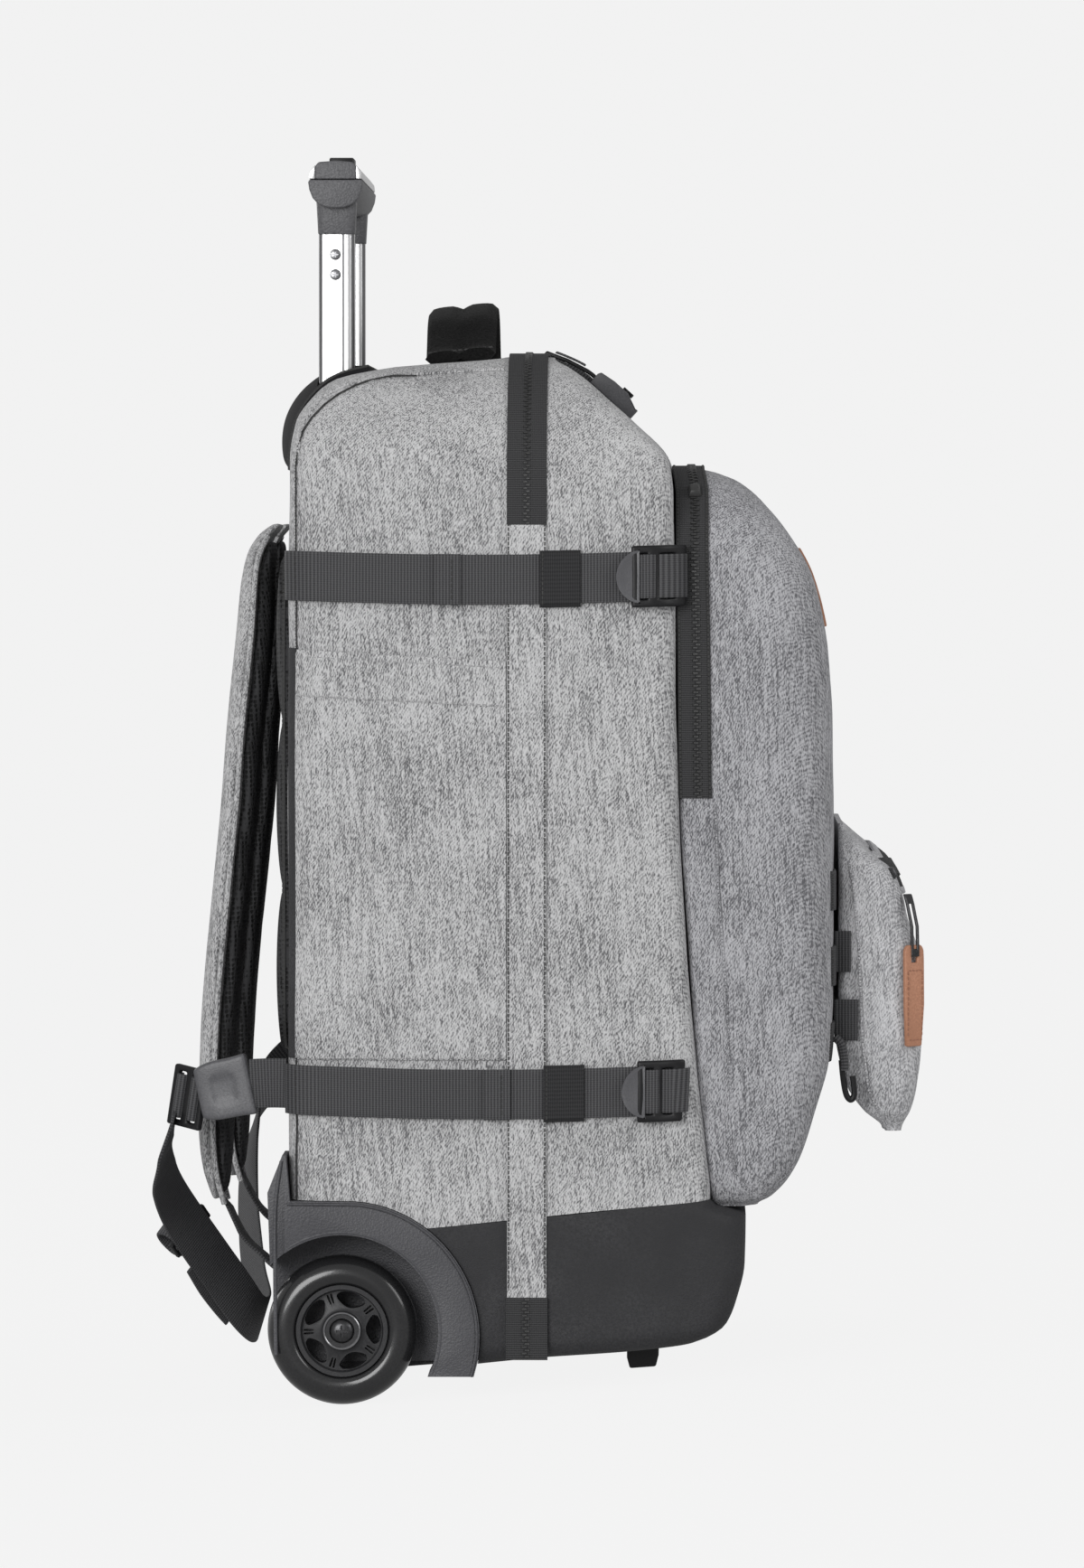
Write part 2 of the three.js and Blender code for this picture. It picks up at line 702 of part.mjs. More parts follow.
// The same geometry with its faces turned out, for shapes laid down by a mirroring matrix.
function turnedOut(geometry) {
  const bare = new THREE.BufferGeometry();
  bare.setAttribute("position", geometry.getAttribute("position"));
  bare.setIndex(geometry.index);
  const merged = mergeVertices(bare, 1e-4);
  const place = merged.getAttribute("position");
  const points = Array.from({ length: place.count }, (_, i) =>
    new THREE.Vector3().fromBufferAttribute(place, i),
  );
  const index = Array.from(merged.index.array);
  const whole = [];
  for (let i = 0; i < index.length; i += 3) {
    const corners = index.slice(i, i + 3);
    if (new Set(corners).size === 3) whole.push(...corners);
  }
  return closed(points, whole);
}

// The height of the grey body's top at a depth, on the bag's middle plane.
function bodyTopAt(depth) {
  const backs = bodySections.filter((row) => row.rise < 0);
  const rising = backs.map((row) => [row.back, row.z]);
  const falling = backs.map((row) => [row.front, row.z]).reverse();
  const line = [...rising, ...falling];
  const after = Math.max(line.findIndex(([place]) => place >= depth), 1);
  const [low, high] = [line[after - 1], line[after]];
  return lerp(low[1], high[1], (depth - low[0]) / (high[0] - low[0]));
}

// The padded carry handle, sewn down at both ends and arched between them.
function addCarryHandle() {
  const back = bodyTopAt(handleMiddle - handleWidth / 2);
  const front = bodyTopAt(handleMiddle + handleWidth / 2);
  const across = new THREE.Vector3(0, -handleWidth, front - back);
  const seat = Math.max((back + front) / 2, bodyTopAt(handleMiddle)) + clearance + handleThickness / 2 + 0.2;
  const half = handleSpan / 2;
  const rows = [[-1, 0], [-0.8, 0], [-0.7, 0.1], [-0.6, 0.42], [-0.46, 0.78], [-0.24, 0.97], [0, 1]];
  const left = rows.map(([share, rise]) => at(share * half, handleMiddle, seat + rise * handleRise));
  const right = left.slice(0, -1).reverse().map((point) => point.clone().setX(-point.x));
  piece("carry_handle", band([...left, ...right], across, handleWidth, handleThickness), webbing);
}

// A box lying on the top front slope, at a distance along it from the lock's middle.
function onSlope(width, length, thickness, along, lift) {
  const [low, high] = [lockMiddle - lockLength / 2, lockMiddle + lockLength / 2 - 2];
  const slope = Math.atan2(bodyTopAt(low) - bodyTopAt(high), high - low);
  const geometry = new THREE.BoxGeometry(width, length, thickness);
  geometry.translate(0, -along, lift + thickness / 2);
  geometry.rotateX(slope);
  return solid(geometry.translate(0, -lockMiddle, bodyTopAt(lockMiddle)));
}

function addLock() {
  const seat = 0.5;
  const body = onSlope(lockWidth, lockLength, lockThickness, 2, seat);
  const slot = onSlope(tongueWidth + 2, 18, tongueThickness + 2, -lockLength / 2 + 2, seat + 2.6);
  piece("lock_body", body.subtract(slot), greyPlastic);
  const reach = -lockLength / 2 - tongueLength / 2 + 8;
  const plate = onSlope(tongueWidth, tongueLength, tongueThickness, reach, seat + 3.6);
  const hole = onSlope(4, 5, far / 10, reach + tongueLength / 2 - 13, -far / 20);
  piece("lock_tongue", plate.subtract(hole), plastic);
}

// A padded strap: rows of across, forward, up, width and thickness.
function pad(rows) {
  const centres = rows.map((row) => at(row[0], row[1], row[2]));
  const shares = [[1, 0], [0.94, 0.7], [0.6, 1], [-0.6, 1], [-0.94, 0.7], [-1, 0]];
  const outline = [...shares, [-0.94, -0.7], [-0.6, -1], [0.6, -1], [0.94, -0.7]];
  const rings = rows.map((row, i) => {
    const before = centres[Math.max(i - 1, 0)];
    const after = centres[Math.min(i + 1, rows.length - 1)];
    const along = after.clone().sub(before).normalize();
    const wide = new THREE.Vector3(1, 0, 0).addScaledVector(along, -along.x).normalize();
    const out = along.clone().cross(wide);
    return outline.map(([w, t]) =>
      centres[i].clone().addScaledVector(wide, (w * row[3]) / 2).addScaledVector(out, (t * row[4]) / 2),
    );
  });
  return loft(rings);
}

// The shoulder straps: middle line as spread from the bag's middle, reach behind the back and height.
const shoulderRows = [
  // spread share, behind, height, width share, thickness share
  [0, 6.5, 445.5, 0.75, 0.35],
  [0.01, 14.5, 439, 0.85, 0.6],
  [0.2, 19.5, 424, 1, 0.85],
  [0.55, 21.5, 388, 1, 1],
  [0.85, 25.5, 343, 1, 1],
  [1, 28.5, 300, 1, 1],
  [1, 33.5, 250, 1, 1],
  [0.95, 38, 203, 1, 1],
  [0.9, 40, 165, 0.98, 1],
  [0.86, 41, 133, 0.9, 0.95],
  [0.84, 39.5, 112, 0.75, 0.8],
  [0.84, 36, 97, 0.55, 0.55],
];
const strapFoot = shoulderRows[shoulderRows.length - 1];

// The webbing below each pad, as shares of the way from the pad's end to the sewn end.
const tailRows = [
  // across, forward, down
  [0, 0, 0], [0.034, 0.058, 0.1], [0.276, 0.281, 0.288], [0.62, 0.661, 0.513], [0.83, 0.909, 0.7],
  [0.93, 0.988, 0.85], [1, 1, 1],
];

function addShoulderStraps() {
  for (const [name, side] of sides) {
    const rows = shoulderRows.map(([spread, behind, z, width, thick]) => [
      side * lerp(strapTopSpread, strapBow, spread), -behind, z,
      width * strapPadWidth, thick * strapPadThickness,
    ]);
    piece(`shoulder_strap_${name}`, pad(rows), cloth);

    // The thin webbing from the padded strap's end down to the base, sewn in beside the wheel housing.
    const start = [lerp(strapTopSpread, strapBow, strapFoot[0]), 0.4 - strapFoot[1], strapFoot[2] - 1.6];
    const end = [housingInner - strapWebWidth, -webbingThickness, strapWebFoot];
    const path = tailRows.map(([across, forward, down]) => at(
      side * lerp(start[0], end[0], across), lerp(start[1], end[1], forward), lerp(start[2], end[2], down),
    ));
    const tail = band(smooth(path, 14), new THREE.Vector3(1, 0, 0), strapWebWidth, webbingThickness);
    piece(`strap_webbing_${name}`, tail, webbing);
  }
}

// The belt's loose webbing behind the bag, a route chosen by hand.
const beltRows = [
  // across, behind and height as shares of the belt's own sizes
  [-0.815, 0.97, 0.785], [-0.713, 1, 0.687], [-0.535, 0.909, 0.564], [-0.318, 0.636, 0.368],
  [-0.127, 0.394, 0.202], [0.127, 0.333, 0.178], [0.382, 0.424, 0.258], [0.637, 0.515, 0.448],
  [0.841, 0.53, 0.663], [0.955, 0.424, 0.834], [1, 0.212, 0.945], [1, 0.027, 0.969],
];

// The waist belt is fastened and hangs behind the bag from one side to the other.
function addBelt() {
  const anchorX = bodyWidth / 2 - beltInset;
  const anchor = [
    at(-anchorX, -1.2, beltHeight), at(-anchorX + 1, -10, beltHeight),
    at(-anchorX + 4, -19, beltHeight - 0.5),
  ];
  const up = new THREE.Vector3(0, 0, 1);
  piece("belt_anchor", band(anchor, up, webbingWidth, webbingThickness), webbing);

  // The buckle's shell and its frame, on the near side of the back.
  const shellRows = [
    // across, forward, up, height, thickness
    [-anchorX + 4.6, -19.6, beltHeight - 0.5, 29, 7],
    [-anchorX + 6, -27, beltHeight - 1, 31, 9],
    [-anchorX + 9, -37, beltHeight - 3, 30, 9],
    [-anchorX + 13, -45, beltHeight - 6, 26, 7],
  ];
  piece("belt_buckle", standing(shellRows), greyPlastic);
  const frameRows = [
    [-anchorX + 13.3, -45.6, beltHeight - 6.2, 34, 6],
    [-anchorX + 15.8, -50.6, beltHeight - 8.1, 34, 6],
    [-anchorX + 18.3, -55.6, beltHeight - 10, 33, 6],
  ];
  piece("belt_frame", standing(frameRows), plastic);

  const frameEnd = at(-anchorX + 19.4, -57.6, beltHeight - 13);
  const route = [frameEnd, ...beltRows.map(([across, behind, height]) => at(
    across * anchorX, -behind * beltReach, height * beltHeight,
  ))];
  // The direction of the webbing's width at each point of its route.
  const wide = [
    [0.1, 0.2, 1], [0.3, 0.3, 1], [0.5, 0.3, 1], [0.6, 0.2, 1], [0.4, 0.1, 1], [0.2, 0, 1], [0, 0, 1],
    [-0.2, 0, 1], [-0.5, 0, 1], [-0.6, 0, 1], [-0.4, 0, 1], [-0.1, 0, 1], [0, 0, 1],
  ].map(([x, depth, z]) => at(x, depth, z).normalize());
  const steps = 36;
  const widths = smooth(wide, steps).map((direction) => direction.normalize());
  piece("belt_webbing", band(smooth(route, steps), widths, webbingWidth, webbingThickness), webbing);
}

// An upright plate along a path: rows of across, forward, up, height and thickness.
function standing(rows) {
  const centres = rows.map((row) => at(row[0], row[1], row[2]));
  const outline = [[1, 0.5], [0.8, 1], [-0.8, 1], [-1, 0.5], [-1, -0.5], [-0.8, -1], [0.8, -1], [1, -0.5]];
  return loft(rows.map((row, i) => {
    const before = centres[Math.max(i - 1, 0)];
    const after = centres[Math.min(i + 1, rows.length - 1)];
    const along = after.clone().sub(before).normalize();
    const wide = new THREE.Vector3(0, 0, 1).addScaledVector(along, -along.z).normalize();
    const out = along.clone().cross(wide);
    return outline.map(([w, t]) =>
      centres[i].clone().addScaledVector(wide, (w * row[3]) / 2).addScaledVector(out, (t * row[4]) / 2),
    );
  }));
}

// A rounded tube or rod standing upright, its outline a rectangle with round corners.
function upright(x, width, depth, radius, low, high) {
  const row = {
    back: tubeMiddle - depth / 2, front: tubeMiddle + depth / 2, half: width / 2,
    tilt: 0, rise: 0, backRadius: radius, frontRadius: radius,
  };
  const rings = [low, high].map((z) => section({ ...row, z }, 0));
  return solid(loft(rings).translate(x, 0, 0));
}

function addTrolley() {
  const guides = [];
  const gap = slideClearance;
  const outer = [tubeWidth + 2 * (gap + guideWall), tubeDepth + 2 * (gap + guideWall)];
  const floor = baseBottom + baseSlope * (tubeMiddle + outer[1] / 2) + clothWall + 1.5;
  const tubeTop = collarBottom + socketDepth;
  for (const [i, x] of tubePlaces.entries()) {
    const tube = upright(x, tubeWidth, tubeDepth, tubeRadius, tubeFoot, tubeTop);
    const hollow = [tubeWidth - 2 * tubeWall, tubeDepth - 2 * tubeWall];
    const bore = upright(x, hollow[0], hollow[1], tubeRadius - tubeWall, tubeFoot - 1, tubeTop + 1);
    piece(`tube_${sides[i][0]}`, tube.subtract(bore), silver);
    const guide = upright(x, outer[0], outer[1], tubeRadius + guideWall, floor, guideTop);
    const inner = [tubeWidth + 2 * gap, tubeDepth + 2 * gap];
    guides.push(guide.subtract(upright(x, inner[0], inner[1], tubeRadius, floor + 4, guideTop + 1)));
  }
  const reach = (tubeSpacing - outer[0]) / 2 + 0.5;
  const bar = block([-reach, tubeMiddle - 7, floor], [reach, tubeMiddle + 7, floor + 4]);
  piece("trolley_guides", guides[0].add(bar).add(guides[1]), silver);
}

// The grip: a bar with a flat crowned top and a round belly, with a collar round each tube.
function addGrip() {
  const half = gripDepth / 2;
  const height = gripTop - gripBottom;
  const profile = [
    [-0.72, 1], [0, 1.03], [0.72, 1], [0.97, 0.86], [1, 0.62], [0.9, 0.3], [0.6, 0.06],
    [0, 0], [-0.6, 0.06], [-0.9, 0.3], [-1, 0.62], [-0.97, 0.86],
  ].map(([depth, share]) => [tubeMiddle + depth * half, gripBottom + share * height]);
  let grip = slab(profile, -gripWidth / 2, gripWidth / 2);
  const collar = [tubeWidth + 2 * collarWall, tubeDepth + 2 * collarWall];
  for (const x of tubePlaces) {
    grip = grip.add(upright(x, collar[0], collar[1], tubeRadius + collarWall, collarBottom, gripBottom + 12));
  }
  for (const x of tubePlaces) {
    const top = collarBottom + socketDepth + clearance;
    const gap = 2 * clearance;
    const room = upright(x, tubeWidth + gap, tubeDepth + gap, tubeRadius, collarBottom - 1, top);
    grip = grip.subtract(room);
  }
  const [long, deep] = [buttonLength / 2 + clearance, buttonDepth / 2 + clearance];
  const seatFloor = buttonSeat - buttonTravel - slideClearance;
  const seat = block([-long, tubeMiddle - deep, seatFloor], [long, tubeMiddle + deep, far * 2]);
  piece("handle_grip", grip.subtract(seat), greyPlastic);
  const button = block(
    [-buttonLength / 2, tubeMiddle - buttonDepth / 2, buttonSeat],
    [buttonLength / 2, tubeMiddle + buttonDepth / 2, buttonTop],
  );
  piece("grip_button", button, plastic);
}

// A ring turned about the wheel axis, from a profile of [distance from the bag's middle, radius].
function turned(side, profile, segments) {
  const points = profile.map(([across, radius]) => new THREE.Vector2(radius, across));
  const geometry = new THREE.LatheGeometry(points, segments);
  const turn = new THREE.Matrix4().set(
    0, side, 0, 0, 1, 0, 0, -wheelDepth, 0, 0, 1, wheelRadius, 0, 0, 0, 1,
  );
  return solid(turnedOut(geometry.applyMatrix4(turn)));
}

function addWheels() {
  const middle = wheelTrack / 2;
  for (const [name, side] of sides) {
    const half = tyreWidth / 2;
    const inner = hubRadius + clearance;
    const tread = [
      [-half, inner], [-half, wheelRadius - 6.5], [-half + 2.5, wheelRadius - 2.6],
      [-half + 6, wheelRadius - 0.6], [0, wheelRadius], [half - 6, wheelRadius - 0.6],
      [half - 2.5, wheelRadius - 2.6], [half, wheelRadius - 6.5], [half, inner], [-half, inner],
    ].map(([across, radius]) => [middle + across, radius]);
    piece(`tyre_${name}`, turned(side, tread, 26), tyreRubber);
    piece(`hub_${name}`, hub(side, middle), plastic);
    const shaft = [
      [housingInner + housingWall + clearance, 0], [housingInner + housingWall + clearance, axleRadius],
      [middle + hubWidth / 2 + 2, axleRadius], [middle + hubWidth / 2 + 2, headRadius],
      [middle + hubWidth / 2 + 4, headRadius], [middle + hubWidth / 2 + 4.6, headRadius - 1],
      [middle + hubWidth / 2 + 4.6, 0],
    ];
    piece(`axle_${name}`, turned(side, shaft, 16), steel);
  }
}

// A hub with five windows and a small slot in each spoke.
function hub(side, middle) {
  const web = webThickness / 2;
  const half = hubWidth / 2;
  const bore = axleRadius + clearance;
  const profile = [
    [-half - 1.5, bore], [-half - 1.5, bossRadius], [-web, bossRadius], [-web, hubRimInner],
    [-half, hubRimInner], [-half, hubRadius], [half, hubRadius], [half, hubRimInner],
    [web, hubRimInner], [web, bossRadius], [half + 1.5, bossRadius], [half + 1.5, bore],
    [-half - 1.5, bore],
  ].map(([across, radius]) => [middle + across, radius]);
  let made = turned(side, profile, 20);
  for (let i = 0; i < spokeCount; i += 1) {
    const angle = 2 + (360 / spokeCount) * i;
    const window = [
      ...arc(axle, 18.9, 18.9, angle - 20, angle + 20, 2),
      ...arc(axle, 12.4, 12.4, angle + 15, angle - 15, 1),
    ];
    made = made.subtract(sideSlab(window, side, middle - half, middle + half));
    const spoke = angle + 180 / spokeCount;
    const slot = [
      ...arc(axle, 18.4, 18.4, spoke - 4, spoke + 4, 1),
      ...arc(axle, 13.4, 13.4, spoke + 3, spoke - 3, 1),
    ];
    made = made.subtract(sideSlab(slot, side, middle - half, middle + half));
  }
  return made;
}

// The housing: a fascia, an arch wall and an outer wall, open at the leg's foot, on an inner plate.
function addHousings() {
  const outer = housingWidth / 2;
  for (const [name, side] of sides) {
    const outline = housingOutline(0);
    const plate = sideSlab(outline, side, housingInner, housingInner + housingWall);
    const well = arc(axle, archInner, archInner, 0, 350, 35);
    const hole = sideSlab(well, side, housingInner + housingWall, outer + 1);
    const body = sideSlab(outline, side, housingInner + housingWall, outer);
    const roomOuter = arc(axle, archFront - housingWall, archTop - housingWall, -34, 84, 10);
    const roomInner = arc(axle, archInner + housingWall, archInner + housingWall, 118, -34, 12);
    const top = axle[1] + archTop - housingWall;
    const room = sideSlab(
      [...roomOuter, [4, top], ...roomInner], side, housingInner + housingWall, outer - housingWall,
    );
    const legBack = [wheelDepth + archInner - 12, plateFoot + 0.5];
    const under = sideBlock(side, housingInner + housingWall, outer + 1, [-far, -far], legBack);
    const arch = body.subtract(hole).subtract(room).subtract(under);
    piece(`wheel_housing_${name}`, plate.add(arch), greyPlastic);
  }
}

// The feet stand on the same floor as the wheels, their soles in the plane that the wheels touch.
function addFeet() {
  const floorAt = (depth) => {
    const lean = radians(restLean);
    return wheelRadius - wheelRadius / Math.cos(lean) + (depth - wheelDepth) * Math.tan(lean);
  };
  for (const [name, side] of sides) {
    const x = (side * footSpacing) / 2;
    const ring = (inset, heightAt) => {
      const [a, b] = [footDepth - footLength / 2 + inset, footDepth + footLength / 2 - inset];
      const w = footWidth / 2 - inset;
      const corners = [[-w, a], [w, a], [w, b], [-w, b]];
      return corners.map(([across, depth]) => at(x + across, depth, heightAt(depth)));
    };
    const top = ring(0, (depth) => baseBottom + baseSlope * depth - clearance);
    piece(`foot_${name}`, loft([top, ring(footTaper, floorAt)]), plastic);
  }
}

// A place straight out from the middle of the pouch's near front corner, at a height.
function pouchCornerAt(out, z) {
  const facet = cornerSteps + 1 + Math.floor(cornerSteps / 2);
  const places = pouchSections.map((row) => {
    const ring = section(row, 0);
    return ring[facet].clone().lerp(ring[facet + 1], 0.5);
  });
  const below = places.findIndex((place) => place.z <= z);
  const [upper, lower] = [places[below - 1], places[below]];
  const place = lower.clone().lerp(upper, (z - lower.z) / (upper.z - lower.z));
  return place.add(at(-out * Math.SQRT1_2, out * Math.SQRT1_2, 0));
}

// The zip's pull hangs at the pouch's corner with its leather tab; a hook hangs beside the pouch.
function addPouchTrim() {
  const across = new THREE.Vector3(Math.SQRT1_2, -Math.SQRT1_2, 0);
  const fullest = pouchCornerAt(tabThickness / 2 + 2 * clearance, lerp(pouchBottom, pouchTop, 0.467));
  const tab = [tabTop, tabFoot].map((z) => fullest.clone().setZ(z));
  piece("pouch_tab", band(tab, across, tabWidth, tabThickness), leather);
  const lift = pullThickness / 2 + clearance;
  const puller = [
    pouchCornerAt(lift, tabTop + 30), pouchCornerAt(lift + 0.6, tabTop + 24),
    fullest.clone().setZ(tabTop + 12), fullest.clone().setZ(tabTop + clearance),
  ];
  piece("pouch_puller", band(puller, across, pullWidth, pullThickness), steel);
  const hookTop = lowerBandHeight - bandWidth / 2 - 1;
  const hookX = -(pouchWidth / 2 + hookAside);
  const hook = [0, 0.5, 1].map((share) => at(
    hookX, pocketReach + lerp(1.4, 2.9, share), hookTop - share * hookLength,
  ));
  piece("pouch_hook", band(hook, new THREE.Vector3(1, 0, 0), hookWidth, hookThickness), plastic);
}

addBody();
addBase();
addGussets();
addSidePockets();
addBackPanel();
addHandleCover();
addFrontPocket();
addLabel();
addWebbingRows();
addPouch();
addPouchBands();
addPouchTrim();
addCompressionStraps();
addCarryHandle();
addLock();
addShoulderStraps();
addBelt();
addTrolley();
addGrip();
addWheels();
addHousings();
addFeet();

// The bag leans forward until its feet touch the floor, and its box is centred on the origin.
const standingBag = new THREE.Group();
standingBag.add(bag);
bag.rotation.x = radians(restLean);
bag.updateMatrixWorld(true);
const box = new THREE.Box3().setFromObject(bag, true);
bag.position.set(-(box.min.x + box.max.x) / 2, -(box.min.y + box.max.y) / 2, -box.min.z);
export default standingBag;
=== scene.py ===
from math import cos, hypot, pi, radians, sin, sqrt

import bmesh
import bpy
from mathutils import Matrix, Vector, noise


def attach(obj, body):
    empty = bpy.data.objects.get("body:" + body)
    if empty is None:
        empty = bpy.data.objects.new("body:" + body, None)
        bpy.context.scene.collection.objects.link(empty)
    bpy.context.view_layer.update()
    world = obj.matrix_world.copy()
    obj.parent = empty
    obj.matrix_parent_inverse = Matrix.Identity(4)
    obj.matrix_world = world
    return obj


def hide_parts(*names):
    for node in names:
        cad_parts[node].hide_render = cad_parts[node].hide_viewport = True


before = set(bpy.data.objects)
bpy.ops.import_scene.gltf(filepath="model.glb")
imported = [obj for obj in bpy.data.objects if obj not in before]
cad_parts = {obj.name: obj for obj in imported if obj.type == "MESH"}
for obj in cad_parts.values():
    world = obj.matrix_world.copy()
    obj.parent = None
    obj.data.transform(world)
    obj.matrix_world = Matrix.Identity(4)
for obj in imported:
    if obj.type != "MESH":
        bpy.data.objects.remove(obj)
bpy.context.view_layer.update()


# Floor, light and camera
# The bag stands on a pale studio floor under wide soft lamps. It is drawn upright in millimetres, x
# across, d forward of its back face and z above the wheels' lowest point, then leaned like the CAD.
TILT = radians(4.2)  # forward, so that the wheels and the feet stand on the floor
LEAN = Matrix.Translation((0, 0.13798546463262585, 0.0020794817767873184)) @ Matrix.Rotation(TILT, 4, "X")


def at(x, d, z):
    return Vector((x, -d, z)) / 1000


def look_from(place, target, up):
    """A world matrix for a camera or lamp at a place, looking at a target."""
    back = (place - target).normalized()
    right = up.cross(back).normalized()
    turn = Matrix((right, back.cross(right), back)).transposed()
    return Matrix.Translation(place) @ turn.to_4x4()


def node(tree, kind, sockets=None, **settings):
    """Adds a shader node: settings name its properties, sockets give values or other nodes' outputs."""
    made = tree.nodes.new("ShaderNode" + kind)
    for key, value in settings.items():
        setattr(made, key, value)
    for socket, value in (sockets or {}).items():
        if isinstance(value, bpy.types.NodeSocket):
            tree.links.new(value, made.inputs[socket])
        else:
            made.inputs[socket].default_value = value
    return made


def blend(tree, share, low, high):
    """The output of a mix of two tones, each a value or an output."""
    return node(tree, "Mix", {"Factor": share, 6: low, 7: high}, data_type="RGBA").outputs[2]


def finish_of(name, build, distance=0.0003, strength=1.0, **constants):
    """A material; build(tree) names the colour, roughness and bump height, each a value or an output."""
    material = bpy.data.materials.new(name)
    material.use_nodes = True
    tree = material.node_tree
    shader = tree.nodes["Principled BSDF"]
    parts = build(tree)
    if "Height" in parts:
        sockets = {"Height": parts.pop("Height"), "Distance": distance, "Strength": strength}
        parts["Normal"] = node(tree, "Bump", sockets).outputs["Normal"]
    for socket, value in {**parts, **constants}.items():
        if isinstance(value, bpy.types.NodeSocket):
            tree.links.new(value, shader.inputs[socket])
        else:
            shader.inputs[socket].default_value = value
    return material


bpy.ops.object.select_all(action="DESELECT")
bpy.ops.mesh.primitive_plane_add(size=30)
floor = bpy.context.object
floor.name = "floor"


def paper(tree):
    """Lit paper: as pale as the backdrop to the eye, and a softer glow on the bag."""
    seen = node(tree, "LightPath").outputs["Is Camera Ray"]
    glow = blend(tree, seen, (0.42, 0.42, 0.42, 1), (0.872, 0.872, 0.872, 1))
    return {"Base Color": (0.03, 0.03, 0.03, 1), "Roughness": 1.0, "Emission Color": glow}


floor_paper = finish_of("floor_paper", paper, **{"Specular IOR Level": 0.0, "Emission Strength": 1.0})
floor.data.materials.append(floor_paper)

world = bpy.data.worlds.new("studio")
bpy.context.scene.world = world
bpy.context.scene.view_settings.view_transform = "Standard"
world.use_nodes = True
seen = node(world.node_tree, "LightPath").outputs["Is Camera Ray"]
glow = blend(world.node_tree, seen, (0.5, 0.5, 0.5, 1), (0.887, 0.887, 0.887, 1))
world.node_tree.links.new(glow, world.node_tree.nodes["Background"].inputs["Color"])

LAMPS = [
    # name, place, target, width, height, watts
    ("side_lamp", (-2.5, 0.9, 0.8), (0, 0, 0.3), 1.2, 1.0, 36),
    ("front_lamp", (-1.3, -2.4, 1.3), (0, 0, 0.3), 1.2, 1.2, 18),
    ("back_lamp", (1.9, 2.0, 1.2), (0, 0, 0.3), 1.4, 1.4, 11),
]
for name, place, target, width, height, watts in LAMPS:
    lamp = bpy.data.lights.new(name, "AREA")
    lamp.shape, lamp.size, lamp.size_y, lamp.energy = "RECTANGLE", width, height, watts
    stand = bpy.data.objects.new(name, lamp)
    bpy.context.scene.collection.objects.link(stand)
    stand.matrix_world = look_from(Vector(place), Vector(target), Vector((0, 0, 1)))

camera = bpy.data.objects.new("camera", bpy.data.cameras.new("camera"))
bpy.context.scene.collection.objects.link(camera)
camera.data.lens = 191.7
camera.data.sensor_fit = "VERTICAL"
camera.data.sensor_height = 36
camera.data.clip_end = 100
camera.matrix_world = LEAN @ look_from(at(-4365, 205.5, 440.5), at(-165, 128.2, 314.5), Vector((0, 0, 1)))
bpy.context.scene.camera = camera


# Black base
# The foot of the bag is a tub of coated black cloth with a little grain, welded to the grey body
# along a sloping seam. Its corners are cut away for the wheel housings.
BODY_WIDTH = 330
AXLE_D, AXLE_Z = 27, 38
SLOPE = 0.1  # the seam rises forward
BASE_ROWS = [
    # height, back, front, narrowing at the side
    (11, 9.2, 205.6, 8), (13.2, 3.5, 213, 4), (18.9, 0, 221.1, 0.5), (31.2, 0, 226.4, 0),
    (49.2, 0, 230.5, 0), (73.6, 0, 231, 0), (79, 0, 217, 0), (83, 0, 213, 0),
]


def between(table, place, column):
    """A smooth reading of one column of a table whose first column rises."""
    last = len(table) - 1
    i = min(max(sum(1 for row in table if row[0] <= place) - 1, 0), last - 1)
    low, high = table[i], table[i + 1]
    gap = high[0] - low[0]

    def slope(j):
        if j in (0, last):
            return 0 if len(table) > 2 else (high[column] - low[column]) / gap
        before = (table[j][column] - table[j - 1][column]) / (table[j][0] - table[j - 1][0])
        after = (table[j + 1][column] - table[j][column]) / (table[j + 1][0] - table[j][0])
        return 0 if before * after <= 0 else 2 * before * after / (before + after)

    t = min(max((place - low[0]) / gap, 0), 1)
    return ((2 * t ** 3 - 3 * t ** 2 + 1) * low[column] + (t ** 3 - 2 * t ** 2 + t) * gap * slope(i)
            + (3 * t ** 2 - 2 * t ** 3) * high[column] + (t ** 3 - t ** 2) * gap * slope(i + 1))


def outline(half, back, front, back_radius, front_radius, steps=6, side_steps=36, face_steps=48):
    """A level rectangle with rounded corners, as [across, depth] pairs at an even pitch."""
    ring = []
    room = (front - back) / 2 - 0.2
    corners = [(1, front, -1, min(front_radius, room), 0), (-1, front, -1, min(front_radius, room), 90),
               (-1, back, 1, min(back_radius, room), 180), (1, back, 1, min(back_radius, room), 270)]
    for (side, edge, inward, radius, start), count in zip(corners, (face_steps, side_steps) * 2):
        for i in range(steps + 1):
            angle = radians(start + 90 * i / steps)
            x = side * (half - radius) + radius * cos(angle)
            ring.append((x, edge + inward * radius + radius * sin(angle)))
        ring.append(count)
    full = []
    points = ring + ring[:1]
    for i, point in enumerate(ring):
        if isinstance(point, tuple):
            full.append(point)
            continue
        (x0, d0), (x1, d1) = points[i - 1], points[i + 1]
        full += [(x0 + (x1 - x0) * j / point, d0 + (d1 - d0) * j / point) for j in range(1, point)]
    return full


def new_piece(name, points, edges, faces):
    """An object with a mesh of its own, from points in metres."""
    mesh = bpy.data.meshes.new(name)
    mesh.from_pydata(points, edges, faces)
    piece = bpy.data.objects.new(name, mesh)
    bpy.context.scene.collection.objects.link(piece)
    return piece


def round_faces(rows, count):
    """The faces of a tube through rows of an equal count of points."""
    return [[r * count + i, r * count + (i + 1) % count, (r + 1) * count + (i + 1) % count, (r + 1) * count + i]
            for r in range(rows - 1) for i in range(count)]


